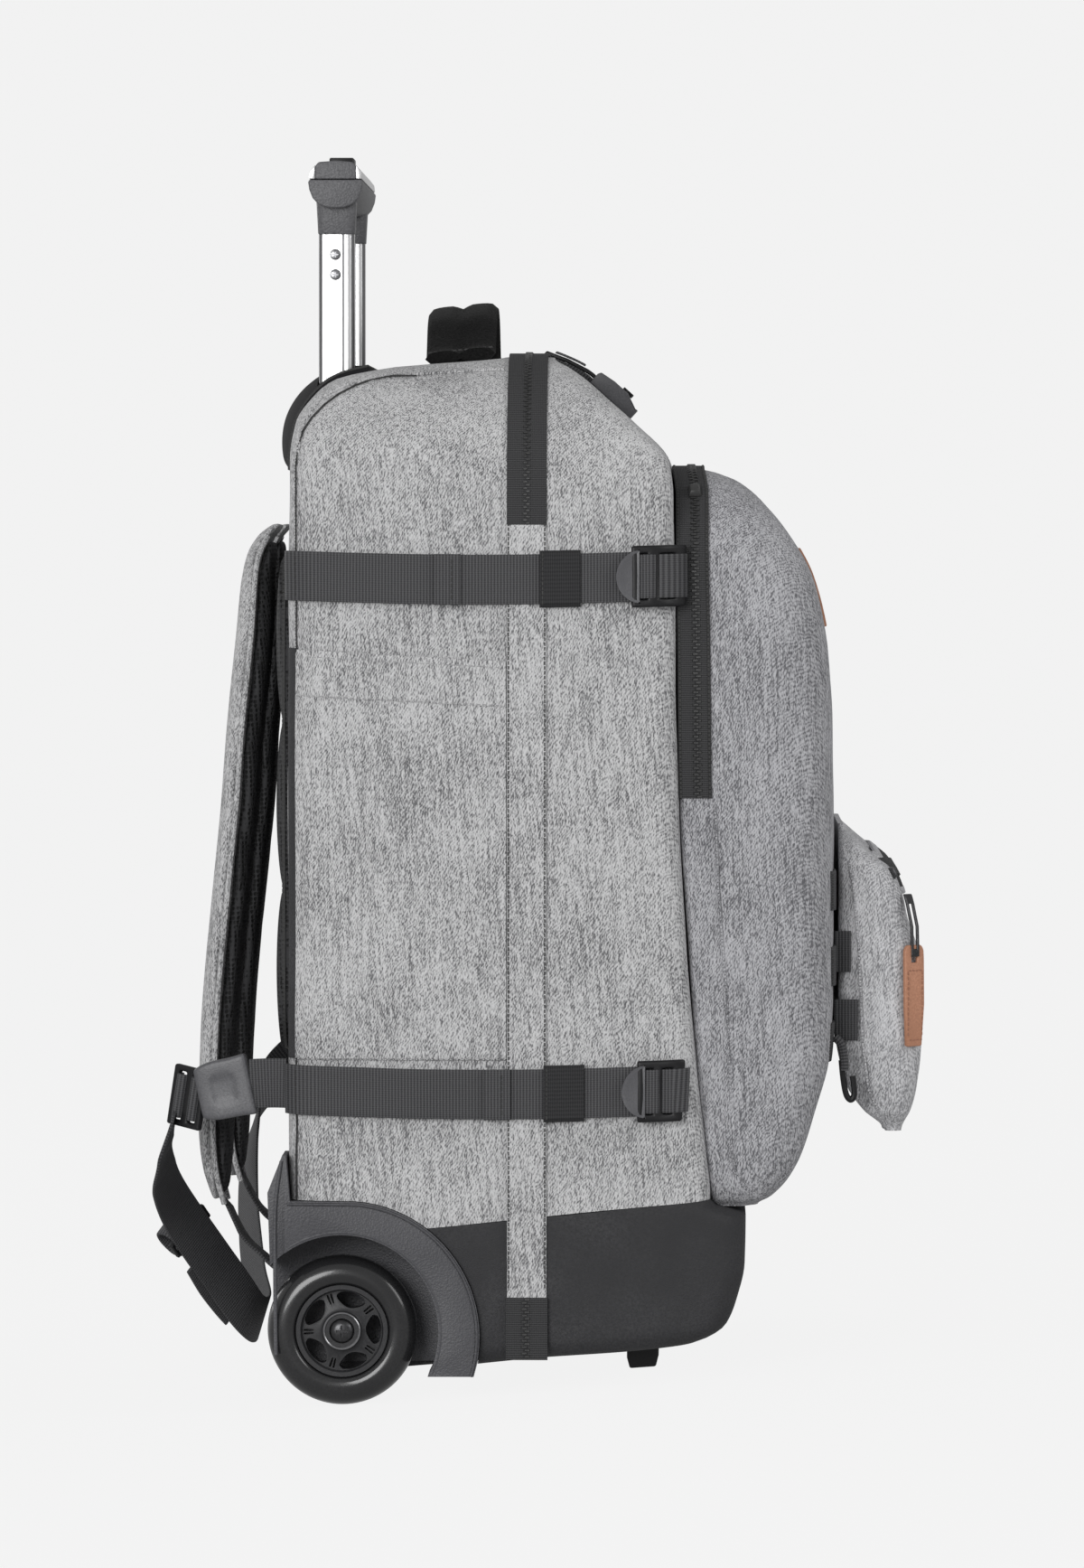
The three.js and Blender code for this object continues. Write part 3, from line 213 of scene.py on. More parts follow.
def skin(name, rings):
    """A closed skin through level rings of equal count, its two ends closed by shrinking rings."""
    def shrunk(ring, share):
        middle = sum(ring, Vector()) / len(ring)
        return [middle + (point - middle) * share for point in ring]

    shares = (0.3, 0.65, 0.93)
    rings = [shrunk(rings[0], s) for s in shares] + rings + [shrunk(rings[-1], s) for s in shares[::-1]]
    count = len(rings[0])
    faces = round_faces(len(rings), count)
    faces += [list(range(count)), list(range((len(rings) - 1) * count, len(rings) * count))]
    return face_out(new_piece(name, [point for ring in rings for point in ring], [], faces))


def only(piece):
    """Makes one object active and selected alone."""
    if bpy.context.object and bpy.context.object.mode != "OBJECT":
        bpy.ops.object.mode_set(mode="OBJECT")
    bpy.ops.object.select_all(action="DESELECT")
    piece.select_set(True)
    bpy.context.view_layer.objects.active = piece


def face_out(piece, weld=True):
    """Turns a closed mesh's faces outwards, after joining the points that share one place."""
    only(piece)
    bpy.ops.object.mode_set(mode="EDIT")
    bpy.ops.mesh.select_all(action="SELECT")
    if weld:
        bpy.ops.mesh.remove_doubles(threshold=0.00001)
    bpy.ops.mesh.normals_make_consistent(inside=False)
    bpy.ops.object.mode_set(mode="OBJECT")
    return piece


def start(name, add, **options):
    """Adds a primitive on its own, turns it to a mesh of its own place, and opens it for editing."""
    if bpy.context.object and bpy.context.object.mode != "OBJECT":
        bpy.ops.object.mode_set(mode="OBJECT")
    bpy.ops.object.select_all(action="DESELECT")
    add(**options)
    piece = bpy.context.object
    piece.name = piece.data.name = name
    bpy.ops.object.transform_apply(location=True, rotation=True, scale=True)
    bpy.ops.object.mode_set(mode="EDIT")
    return piece


def choose(piece, what, test):
    """In edit mode, selects the faces, edges or verts whose middle and normal pass a test."""
    mesh = bmesh.from_edit_mesh(piece.data)
    bpy.ops.mesh.select_all(action="DESELECT")
    bpy.context.tool_settings.mesh_select_mode = tuple(what == kind for kind in ("verts", "edges", "faces"))
    for part in getattr(mesh, what):
        if what == "verts":
            middle, normal = part.co, part.normal
        elif what == "edges":
            middle = (part.verts[0].co + part.verts[1].co) / 2
            normal = (part.verts[1].co - part.verts[0].co).normalized()
        else:
            middle, normal = part.calc_center_median(), part.normal
        part.select_set(bool(test(middle * 1000, normal)))
    mesh.select_flush_mode()
    bmesh.update_edit_mesh(piece.data)


def shape(piece, kind, **settings):
    """Adds a modifier with its settings and applies it."""
    only(piece)
    modifier = piece.modifiers.new(kind.lower(), kind)
    for key, value in settings.items():
        setattr(modifier, key, value)
    bpy.ops.object.modifier_apply(modifier=modifier.name)


def soften(piece, width, segments, angle):
    """Rounds the edges that turn by more than an angle in degrees; the width is in metres."""
    shape(piece, "BEVEL", width=width, segments=segments, limit_method="ANGLE", angle_limit=radians(angle))


def cut(piece, cutter):
    """Takes a closed cutter out of a piece, and throws the cutter away."""
    only(piece)
    shape(piece, "BOOLEAN", operation="DIFFERENCE", object=cutter, solver="EXACT")
    bpy.data.objects.remove(cutter)


def done(piece, body, material, slot, *replaced, angle=35):
    """Leans a finished piece with the bag, smooths it, and gives it its finish and its body."""
    only(piece)
    piece.data.transform(LEAN @ piece.matrix_basis)
    piece.matrix_basis = Matrix.Identity(4)
    bpy.ops.object.shade_smooth_by_angle(angle=radians(angle))
    piece.data.materials.clear()
    piece.data.materials.append(material)
    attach(piece, body)
    if replaced:
        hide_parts(*replaced)
    return piece


def level_ring(z, half, back, front, crown, tilt, back_radius=15, front_radius=12, **steps):
    points = []
    for x, d in outline(half, back, front, back_radius, front_radius, **steps):
        share = (d - back) / (front - back)
        puff = crown * 4 * share * (1 - share) * x / half
        points.append(at(x + puff, d, z + SLOPE * tilt * d))
    return points


def waves(piece, size, depth, seed, keep):
    """Moves a skin's points in and out a little in lumps; keep(place) says how much of it stays."""
    normals = [vertex.normal.copy() for vertex in piece.data.vertices]
    for vertex, normal in zip(piece.data.vertices, normals):
        lump = noise.noise(vertex.co / size + Vector((seed, 0, 0)))
        vertex.co += normal * lump * depth * keep(vertex.co * 1000)


def housing_outline(grow):
    """The wheel housing seen from the side, as [depth, height] pairs about the axle."""
    front = []
    for i in range(25):
        angle = radians(-19 + 103 * i / 24)
        radius = 70.5 + (66 - 70.5) * i / 24 + grow
        front.append((AXLE_D + radius * cos(angle), AXLE_Z + radius * sin(angle)))
    return [(front[0][0], 15.5 - grow), *front, (1 + grow, 104 + grow), (-1 + grow, 127 + 2 * grow),
            (-3 - grow, 127 + grow), (-10.5 - grow, 108), (-7.5 - grow, 20 - grow), (71, 20 - grow),
            (69, 15.5 - grow)]


def drawn_out(piece, step):
    """Draws a flat outline out along a step in metres, as a closed solid."""
    only(piece)
    bpy.ops.object.mode_set(mode="EDIT")
    bpy.ops.mesh.select_all(action="SELECT")
    bpy.ops.mesh.extrude_region_move(TRANSFORM_OT_translate={"value": step})
    bpy.ops.object.mode_set(mode="OBJECT")
    return face_out(piece)


def prism(name, points, near, away):
    """A side-view outline of [depth, height] pairs as a closed slab between two places across."""
    piece = new_piece(name, [at(near, d, z) for d, z in points], [], [list(range(len(points)))])
    return drawn_out(piece, ((away - near) / 1000, 0, 0))


def cut_for_wheels(piece):
    """Takes the rooms of the two housings and wheels out of a piece."""
    for side in (-1, 1):
        for name, room in (("housing_room", housing_outline(0.3)),
                           ("wheel_room", [(-40, -40), (72, -40), (72, 32), (-40, 32)])):
            cut(piece, prism(name, room, side * 131.7, side * 210))


def cut_for_tubes(piece, low, high):
    """Takes the rooms of the two trolley tubes and their screws out of a piece between two heights."""
    room = [(11.2, low), (30.8, low), (30.8, high), (11.2, high)]
    for side in (-1, 1):
        cut(piece, prism("tube_room", room, side * 62.4, side * 79.2))


def group(name, inputs, outputs):
    """A new shader node group; inputs are name to (kind, default), outputs are name to kind."""
    tree = bpy.data.node_groups.new(name, "ShaderNodeTree")
    for key, (kind, value) in inputs.items():
        socket = tree.interface.new_socket(key, in_out="INPUT", socket_type="NodeSocket" + kind)
        if value is not None:
            socket.default_value = value
    for key, kind in outputs.items():
        tree.interface.new_socket(key, in_out="OUTPUT", socket_type="NodeSocket" + kind)
    return tree, tree.nodes.new("NodeGroupInput").outputs, tree.nodes.new("NodeGroupOutput").inputs


def put_out(tree, ends, **outputs):
    for key, socket in outputs.items():
        tree.links.new(socket, ends[key])


def placed(tree, made, **sockets):
    """Places a node group in a material's tree with this material's own values."""
    return node(tree, "Group", sockets, node_tree=made).outputs


def here(tree):
    return tree.nodes.new("ShaderNodeTexCoord").outputs["Object"]


def maths(tree, operation, *values):
    """The output of a math node over values, each a number or an output."""
    return node(tree, "Math", dict(enumerate(values)), operation=operation).outputs["Value"]


def ranged(tree, value, low=0.0, high=1.0, to_low=0.0, to_high=1.0):
    """The output of a map from one range to another, held at its ends."""
    sockets = {"Value": value, "From Min": low, "From Max": high, "To Min": to_low, "To Max": to_high}
    return node(tree, "MapRange", sockets).outputs["Result"]


def cloud(tree, vector, scale, detail, roughness=0.5):
    """The output of a noise texture."""
    sockets = {"Vector": vector, "Scale": scale, "Detail": detail, "Roughness": roughness}
    return node(tree, "TexNoise", sockets).outputs["Fac"]


# Fine lumps for coated cloth, leather and moulded plastic: a height and a slight change of tone.
GRAIN, ends_in, ends_out = group("fine_grain", {
    "Vector": ("Vector", None), "Pitch": ("Float", 1500.0), "Dark": ("Color", (0.1, 0.1, 0.1, 1)),
    "Light": ("Color", (0.2, 0.2, 0.2, 1)),
}, {"Color": "Color", "Height": "Float", "Rough": "Float"})
lumps = node(GRAIN, "TexVoronoi", {"Vector": ends_in["Vector"], "Scale": ends_in["Pitch"]})
patches = cloud(GRAIN, ends_in["Vector"], 22.0, 3.0)
specks = cloud(GRAIN, ends_in["Vector"], 900.0, 2.0)
both = maths(GRAIN, "MULTIPLY", ranged(GRAIN, patches, 0.3, 0.7), ranged(GRAIN, specks, 0.3, 0.7))
put_out(GRAIN, ends_out, Color=blend(GRAIN, both, ends_in["Dark"], ends_in["Light"]),
        Height=lumps.outputs["Distance"], Rough=ranged(GRAIN, patches, 0, 1, -0.06, 0.06))


def grained(name, dark, light, pitch, roughness, distance=0.0002, strength=0.5, **constants):
    """A grained finish with its own two tones, pitch of the lumps and gloss."""
    def build(tree):
        made = placed(tree, GRAIN, Vector=here(tree), Pitch=pitch, Dark=dark, Light=light)
        rough = maths(tree, "ADD", made["Rough"], roughness)
        return {"Base Color": made["Color"], "Roughness": rough, "Height": made["Height"]}

    return finish_of(name, build, distance, strength, **constants)


coated = grained("coated_cloth", (0.024, 0.024, 0.026, 1), (0.052, 0.052, 0.055, 1), 1500.0, 0.66, 0.00025, 0.6,
                 **{"Specular IOR Level": 0.3})

rings = []
for i in range(27):
    z = 11 + 72 * (i / 26) ** 1.15
    back, front, narrow = (between(BASE_ROWS, z, column) for column in (1, 2, 3))
    rings.append(level_ring(z, BODY_WIDTH / 2 - narrow, back, front, 0, 1))
base = skin("base_tub_cloth", rings)
waves(base, 0.06, 0.0012, 3.0, lambda place: max(0, min(1, (78 - place.z + 0.1 * place.y) / 20)))
cut_for_wheels(base)
cut_for_tubes(base, 56, 100)
done(base, "bag", coated, "black_cloth", "base_tub")


# Grey body
# One bag of heather polyester twill, stiffened by foam, closed over the top in soft round edges. Its
# sides puff out a little and show the shallow folds of a full bag.
BODY_TOP = 531
SIDE_ROUND = 70  # where the sides roll over into the top
BODY_ROWS = [
    # height, back, front, tilt of the base seam, crown of the sides
    (83.3, 0, 213, 1, 0), (109.9, 0, 210.9, 0.8, 0.7), (165.1, 0, 205.5, 0.4, 2.1), (231, 0, 201.1, 0, 3.5),
    (306.9, 0, 196.4, 0, 3.5), (389.8, 0, 195.5, 0, 3.5), (436, 0, 194.7, 0, 2.45), (458.3, 0, 194.7, 0, 1.4),
    (476.8, 0, 191.9, 0, 0.7), (497, 3, 174, 0, 0.35), (509.8, 11.1, 160, 0, 0), (518.8, 21.9, 150, 0, 0),
    (525.2, 50.1, 141, 0, 0), (531, 108, 132, 0, 0),
]
FOLDS = [
    # depth, height, slant in degrees, length, width, how far it stands out
    (180, 205, 48, 62, 8, -3.0), (163, 192, 52, 55, 8, 2.2), (150, 128, 34, 62, 8, -2.6),
    (158, 140, 30, 50, 7, 1.8), (95, 232, -48, 60, 11, -2.2), (62, 205, -40, 62, 11, 1.8),
    (136, 262, 80, 60, 7, 1.6), (30, 438, 72, 50, 9, -1.5), (172, 330, 84, 95, 8, -1.7),
    (60, 330, 80, 120, 14, 1.3), (150, 484, 60, 40, 9, -1.5), (90, 300, 88, 90, 10, -1.1),
    (45, 122, -24, 70, 7, -2.0), (62, 112, -30, 60, 7, 1.6), (80, 134, -50, 44, 7, -1.4),
    (150, 380, 78, 70, 9, 1.4), (60, 470, 20, 60, 10, -1.2),
]


def rounded(half, top, radius, z):
    """Half the width at a height of a form whose top corners are round."""
    above = min(max(z - (top - radius), 0), radius)
    return half - radius + sqrt(radius ** 2 - above ** 2)


def reach_of(d, z, depth, height, slant, length, width):
    """How far a place lies from the middle of a fold, as a square that is 1 at its edge."""
    along = (d - depth) * cos(radians(slant)) + (z - height) * sin(radians(slant))
    across = (z - height) * cos(radians(slant)) - (d - depth) * sin(radians(slant))
    return (2 * along / length) ** 2 + (across / width) ** 2


def swell(side, d, z):
    """How far the side cloth stands out of its plain form at a depth and height, in millimetres."""
    total = 1.3 * noise.noise(Vector((d / 48, z / 70, 5.0 * side)))
    total += 0.5 * noise.noise(Vector((d / 15, z / 30, 9.0 * side)))
    for *fold, out in FOLDS:
        reach = reach_of(d, z, *fold)
        if reach < 6:
            total += out * 2.718 ** -reach * (1 if side < 0 else 0.6)
    return total


def on_side(side):
    """The surface of one side panel: depth, height and lift give a point."""
    def plain(d, z):
        back, front, tilt, crown = (between(BODY_ROWS, z, column) for column in (1, 2, 3, 4))
        share = min(max((d - back) / (front - back), 0), 1)
        x = rounded(BODY_WIDTH / 2, BODY_TOP, SIDE_ROUND, z - SLOPE * tilt * d)
        x += crown * 4 * share * (1 - share)
        for edge, radius in ((d - back, 15), (front - d, 12)):
            if edge < radius:
                x -= radius - sqrt(max(radius ** 2 - (radius - edge) ** 2, 0))
        return at(side * x, d, z)

    def surface(d, z, lift):
        forward, upward = plain(d + 0.5, z) - plain(d - 0.5, z), plain(d, z + 0.5) - plain(d, z - 0.5)
        normal = forward.cross(upward).normalized()
        if normal.x * side < 0:
            normal = -normal
        return plain(d, z) + normal * (lift + swell(side, d, z) * abs(normal.x)) / 1000

    return surface


# Heather twill: light warp threads over dark ones in short upright strokes, with a fine slant.
HEATHER, ends_in, ends_out = group("heather_twill", {
    "Vector": ("Vector", None), "Light": ("Color", (0.5, 0.5, 0.5, 1)), "Dark": ("Color", (0.1, 0.1, 0.1, 1)),
    "Mix": ("Float", 0.5),
}, {"Color": "Color", "Height": "Float", "Rough": "Float"})


def stretched(tree, vector, scale):
    return node(tree, "Mapping", {"Vector": vector, "Scale": scale}).outputs["Vector"]


threads = cloud(HEATHER, stretched(HEATHER, ends_in["Vector"], (1700, 1700, 520)), 1.0, 1.5, 0.7)
streaks = cloud(HEATHER, stretched(HEATHER, ends_in["Vector"], (700, 700, 48)), 1.0, 3.0, 0.6)
clouds = cloud(HEATHER, ends_in["Vector"], 24.0, 3.0)
bend = cloud(HEATHER, ends_in["Vector"], 170.0, 1.0)
split = node(HEATHER, "SeparateXYZ", {"Vector": ends_in["Vector"]}).outputs
slant = maths(HEATHER, "MULTIPLY_ADD", maths(HEATHER, "ADD", split["X"], split["Y"]), 1.4, split["Z"])
slant = maths(HEATHER, "MULTIPLY_ADD", bend, 0.006, slant)
twill = maths(HEATHER, "SINE", maths(HEATHER, "MULTIPLY", slant, 2700.0))
share = maths(HEATHER, "MULTIPLY_ADD", streaks, 0.5, threads)
share = maths(HEATHER, "MULTIPLY_ADD", twill, 0.06, share)
share = maths(HEATHER, "MULTIPLY_ADD", clouds, 0.22, share)
light = ranged(HEATHER, maths(HEATHER, "ADD", share, ends_in["Mix"]), 1.19, 1.46)
put_out(HEATHER, ends_out, Color=blend(HEATHER, light, ends_in["Dark"], ends_in["Light"]),
        Height=maths(HEATHER, "MULTIPLY_ADD", twill, 0.4, threads), Rough=ranged(HEATHER, light, 0, 1, 0.95, 0.8))


def heather(name, light, dark, mix):
    def build(tree):
        made = placed(tree, HEATHER, Vector=here(tree), Light=light, Dark=dark, Mix=mix)
        return {"Base Color": made["Color"], "Roughness": made["Rough"], "Height": made["Height"]}

    return finish_of(name, build, 0.00025, 0.6, **{"Specular IOR Level": 0.25, "Sheen Weight": 0.08})


grey_twill = heather("grey_heather_twill", (0.55, 0.55, 0.555, 1), (0.125, 0.125, 0.13, 1), 0.5)
blue_twill = heather("front_heather_twill", (0.46, 0.46, 0.48, 1), (0.115, 0.115, 0.124, 1), 0.48)

rings = []
for i in range(105):
    z = 83.3 + (BODY_TOP - 83.3) * (1 - (1 - i / 104) ** 1.35)
    back, front, tilt, crown = (between(BODY_ROWS, z, column) for column in (1, 2, 3, 4))
    half = rounded(BODY_WIDTH / 2, BODY_TOP, SIDE_ROUND, z)
    rings.append(level_ring(z, half, back, front, crown, tilt))
body = skin("main_body_cloth", rings)
normals = [vertex.normal.copy() for vertex in body.data.vertices]
for vertex, normal in zip(body.data.vertices, normals):
    place = vertex.co * 1000
    fade = min(1, max(0, (place.z - 84) / 25))
    vertex.co += normal * swell(-1 if place.x < 0 else 1, -place.y, place.z) * abs(normal.x) * fade / 1000
    lump = noise.noise(Vector((place.x / 60, place.z / 60, 2.0))) * (1 - abs(normal.x)) * fade
    vertex.co += normal * lump * 0.0012
cut_for_wheels(body)
cut_for_tubes(body, 60, 600)
done(body, "bag", grey_twill, "grey_cloth", "main_body")


# Gusset bands and the long zip
# A grey band runs up each side and turns into the long zip over the top; its foot on the black base
# is a short zip. The tape is ribbed black cloth with a coil of small moulded teeth down the middle.
GUSSET_BACK = 110.5
GUSSET_WIDTH = 20
ZIP_END = 445
SIDES = ((-1, "left"), (1, "right"))


def thicken(thickness):
    """In edit mode, draws the selected flat shape up into a closed solid; mm."""
    bpy.ops.mesh.extrude_region_move(TRANSFORM_OT_translate={"value": (0, 0, thickness / 1000)})
    bpy.ops.mesh.select_all(action="SELECT")
    bpy.ops.mesh.normals_make_consistent(inside=False)


def flat_piece(name, low, high, thickness, steps=(24, 6), edge=0.0):
    """A flat cut of cloth, drawn as a grid in its own plane and given its thickness; sizes in mm."""
    size = [(b - a) / 1000 for a, b in zip(low, high)]
    middle = [(a + b) / 2000 for a, b in zip(low, high)]
    piece = start(name, bpy.ops.mesh.primitive_grid_add, x_subdivisions=steps[0], y_subdivisions=steps[1],
                  size=1, location=(*middle, 0))
    bpy.ops.transform.resize(value=(size[0], size[1], 1), center_override=(*middle, 0))
    thicken(thickness)
    if edge:
        choose(piece, "edges", lambda middle_mm, along: middle_mm.z > thickness - 0.01 and (
            min(abs(middle_mm.x - low[0]), abs(middle_mm.x - high[0]),
                abs(middle_mm.y - low[1]), abs(middle_mm.y - high[1])) < 0.01))
        bpy.ops.mesh.bevel(offset=edge / 1000, segments=2, affect="EDGES")
    bpy.ops.object.mode_set(mode="OBJECT")
    note_cut(piece)
    return piece


def note_cut(piece):
    """Keeps the flat cut's own coordinates as a UV map, in metres, for patterns that follow it."""
    layer = piece.data.uv_layers.get("cut") or piece.data.uv_layers.new(name="cut")
    piece.data.uv_layers.active = layer
    for loop in piece.data.loops:
        layer.data[loop.index].uv = piece.data.vertices[loop.vertex_index].co.xy


def lay(piece, surface, lift=0.0):
    """Lays a flat piece on a surface; its own height becomes the lift."""
    for vertex in piece.data.vertices:
        a, b, up = vertex.co * 1000
        vertex.co = surface(a, b, lift + up)
    return face_out(piece)


def links(name, places, blocks):
    """Many small blocks in one mesh: each place is an origin and three directions in metres."""
    points, faces = [], []
    for origin, along, across, up in places:
        first = len(points)
        points += [origin + along * a + across * b + up * c for a, b, c in blocks]
        faces += [[first + i for i in face] for face in (
            (0, 1, 2, 3), (7, 6, 5, 4), (0, 4, 5, 1), (1, 5, 6, 2), (2, 6, 7, 3), (3, 7, 4, 0))]
    return face_out(new_piece(name, points, [], faces), weld=False)


def block(length, width, height, taper=0.7):
    """A small block with a narrower top, as eight corners; sizes in mm."""
    corners = []
    for level, share in ((0, 1), (height, taper)):
        corners += [(a * length * share / 2000, b * width * share / 2000, level / 1000)
                    for a, b in ((-1, -1), (1, -1), (1, 1), (-1, 1))]
    return corners


def steps_along(surface, route, pitch, lift, aside=0.0):
    """Places at an even pitch along a route on a surface, set aside by turns to its two sides."""
    points = [surface(a, b, lift) for a, b in route]
    ups = [(surface(a, b, lift + 1) - surface(a, b, lift)).normalized() for a, b in route]
    places, need, count = [], pitch / 2, 0
    for i in range(len(points) - 1):
        step = points[i + 1] - points[i]
        length = step.length * 1000
        while length > 0 and need <= length:
            along, up = step.normalized(), ups[i]
            across = up.cross(along).normalized()
            offset = aside * (1 if count % 2 else -1) / 1000
            places.append((points[i] + step * (need / length) + across * offset, along, across, up))
            need += pitch
            count += 1
        need -= length
    return places


def route(*corners, step=4.0):
    """A fine route through corner places on a surface."""
    full = []
    for (a0, b0), (a1, b1) in zip(corners, corners[1:]):
        count = max(1, round(hypot(a1 - a0, b1 - b0) / step))
        full += [(a0 + (a1 - a0) * i / count, b0 + (b1 - b0) * i / count) for i in range(count)]
    return full + [corners[-1]]


def sew(name, surface, path, pitch, lift, size, material, slot="webbing", aside=0.0):
    """A finished row of small blocks, such as stitches or zip teeth, along a route on the bag."""
    row = links(name, steps_along(surface, path, pitch, lift, aside), block(*size))
    return done(row, "bag", material, slot)


# Woven tape and webbing: ribs across its length and fine warp lines along it.
WOVEN, ends_in, ends_out = group("woven_ribs", {
    "Vector": ("Vector", None), "Along": ("Float", 700.0), "Across": ("Float", 1000.0),
    "Dark": ("Color", (0.02, 0.02, 0.02, 1)), "Light": ("Color", (0.08, 0.08, 0.08, 1)),
}, {"Color": "Color", "Height": "Float"})
split = node(WOVEN, "SeparateXYZ", {"Vector": ends_in["Vector"]}).outputs
ribs = []
for axis, rate in (("X", "Along"), ("Y", "Across")):
    turn = maths(WOVEN, "MULTIPLY", split[axis], ends_in[rate])
    ribs.append(maths(WOVEN, "SINE", maths(WOVEN, "MULTIPLY", turn, 2 * pi)))
weave = maths(WOVEN, "MULTIPLY_ADD", ribs[1], 0.45, ribs[0])
weave = maths(WOVEN, "MULTIPLY_ADD", cloud(WOVEN, ends_in["Vector"], 1500.0, 2.0), 1.2, weave)
light = ranged(WOVEN, weave, -0.9, 2.0)
put_out(WOVEN, ends_out, Color=blend(WOVEN, light, ends_in["Dark"], ends_in["Light"]), Height=weave)


def woven(name, dark, light, along, across, roughness=0.75, turned=False):
    """A ribbed finish that follows the piece's own cut; turned is for a piece whose length runs in V."""
    def build(tree):
        cut_map = node(tree, "UVMap", uv_map="cut").outputs["UV"]
        if turned:
            cut_map = node(tree, "Mapping", {"Vector": cut_map, "Rotation": (0, 0, pi / 2)}).outputs["Vector"]
        made = placed(tree, WOVEN, Vector=cut_map, Dark=dark, Light=light, Along=along, Across=across)
        return {"Base Color": made["Color"], "Roughness": roughness, "Height": made["Height"]}

    return finish_of(name, build, 0.00018, 0.55, **{"Specular IOR Level": 0.2})


zip_tape = woven("zip_tape", (0.02, 0.02, 0.021, 1), (0.065, 0.065, 0.067, 1), 900.0, 1300.0, 0.8)
zip_teeth = grained("zip_teeth", (0.02, 0.02, 0.02, 1), (0.05, 0.05, 0.05, 1), 2500.0, 0.38, 0.0001, 0.2)
black_thread = grained("black_thread", (0.02, 0.02, 0.02, 1), (0.045, 0.045, 0.045, 1), 3000.0, 0.7, 0.0001, 0.3)
grey_thread = grained("grey_thread", (0.25, 0.25, 0.255, 1), (0.4, 0.4, 0.405, 1), 3000.0, 0.7, 0.0001, 0.3)


def hoop(half, top, radius, foot, depth, lift_at):
    """A path up one side, over the round top and down the other: distance, depth and lift give a point."""
    straight = top - radius - foot
    bend = radius * pi / 2
    flat = 2 * (half - radius)
    total = 2 * (straight + bend) + flat

    def surface(s, across, lift):
        side = -1
        if s > total / 2:
            side, s = 1, total - s
        if s < straight:
            x, z, normal = half, foot + s, Vector((1, 0, 0))
        elif s < straight + bend:
            angle = (s - straight) / radius
            x, z = half - radius + radius * cos(angle), top - radius + radius * sin(angle)
            normal = Vector((cos(angle), 0, sin(angle)))
        else:
            x, z, normal = half - radius - (s - straight - bend), top, Vector((0, 0, 1))
        out = lift + lift_at(side, depth + across, z) * normal.x
        point = at(side * x, depth + across, z)
        return point + Vector((side * normal.x, 0, normal.z)) * out / 1000

    return surface, total


def crowned(side, d, z):
    back, front, crown = (between(BODY_ROWS, min(z, 530), column) for column in (1, 2, 4))
    share = (d - back) / (front - back)
    return crown * 4 * share * (1 - share) + swell(side, d, z)


gusset, gusset_length = hoop(165, BODY_TOP, SIDE_ROUND, 96.5, 120.5, crowned)
zip_from = ZIP_END - 96.5
tape = flat_piece("main_zip_tape", (zip_from, -10), (gusset_length - zip_from, 10), 1, (150, 8), 0.3)
lay(tape, gusset, 0.5)
done(tape, "bag", zip_tape, "black_cloth", "main_zip")
sew("main_zip_teeth", gusset, route((zip_from, 0), (gusset_length - zip_from, 0)), 1.6, 1.3, (1.0, 2.6, 0.9),
    zip_teeth, "black_cloth", 0.7)
for side, name in SIDES:
    band = flat_piece("gusset_band_" + name + "_cloth", (24, GUSSET_BACK), (ZIP_END, GUSSET_BACK + GUSSET_WIDTH),
                      1.3, (90, 8), 0.8)
    surface = on_side(side)

    def down_the_side(z, d, lift, surface=surface, side=side):
        if z > 98:
            return surface(d, z, lift)
        return at(side * (BODY_WIDTH / 2 + lift), d, z)

    lay(band, down_the_side, 0.45)
    done(band, "bag", grey_twill, "grey_cloth", "gusset_band_" + name)
    foot = flat_piece("base_zip_" + name, (24, GUSSET_BACK - 0.5), (55.5, GUSSET_BACK + GUSSET_WIDTH + 0.5),
                      0.7, (14, 6), 0.3)
    lay(foot, down_the_side, 1.8)
    done(foot, "bag", zip_tape, "black_cloth")
    sew("base_zip_teeth_" + name, down_the_side, route((25, 120), (55, 120)), 1.6, 2.3, (1.15, 3.4, 0.9),
        zip_teeth, "black_cloth", 0.7)
    for edge, word in ((GUSSET_BACK + 0.9, "back"), (GUSSET_BACK + GUSSET_WIDTH - 0.9, "front")):
        sew("gusset_seam_" + word + "_" + name, down_the_side, route((60, edge), (ZIP_END, edge)), 2.4, 1.55,
            (2.2, 0.8, 0.35), black_thread, "grey_cloth")
    path = route((64, 520), (52, 520), (41, 518), (33, 515), (25, 510.5), (18, 505), (12, 498.5), (8, 492),
                 (5.5, 484), (4.5, 474), (4.5, 100), step=2)
    sew("back_edge_seam_" + name, surface, path, 1.9, 0.5, (2.2, 1.0, 0.5), black_thread, "grey_cloth")


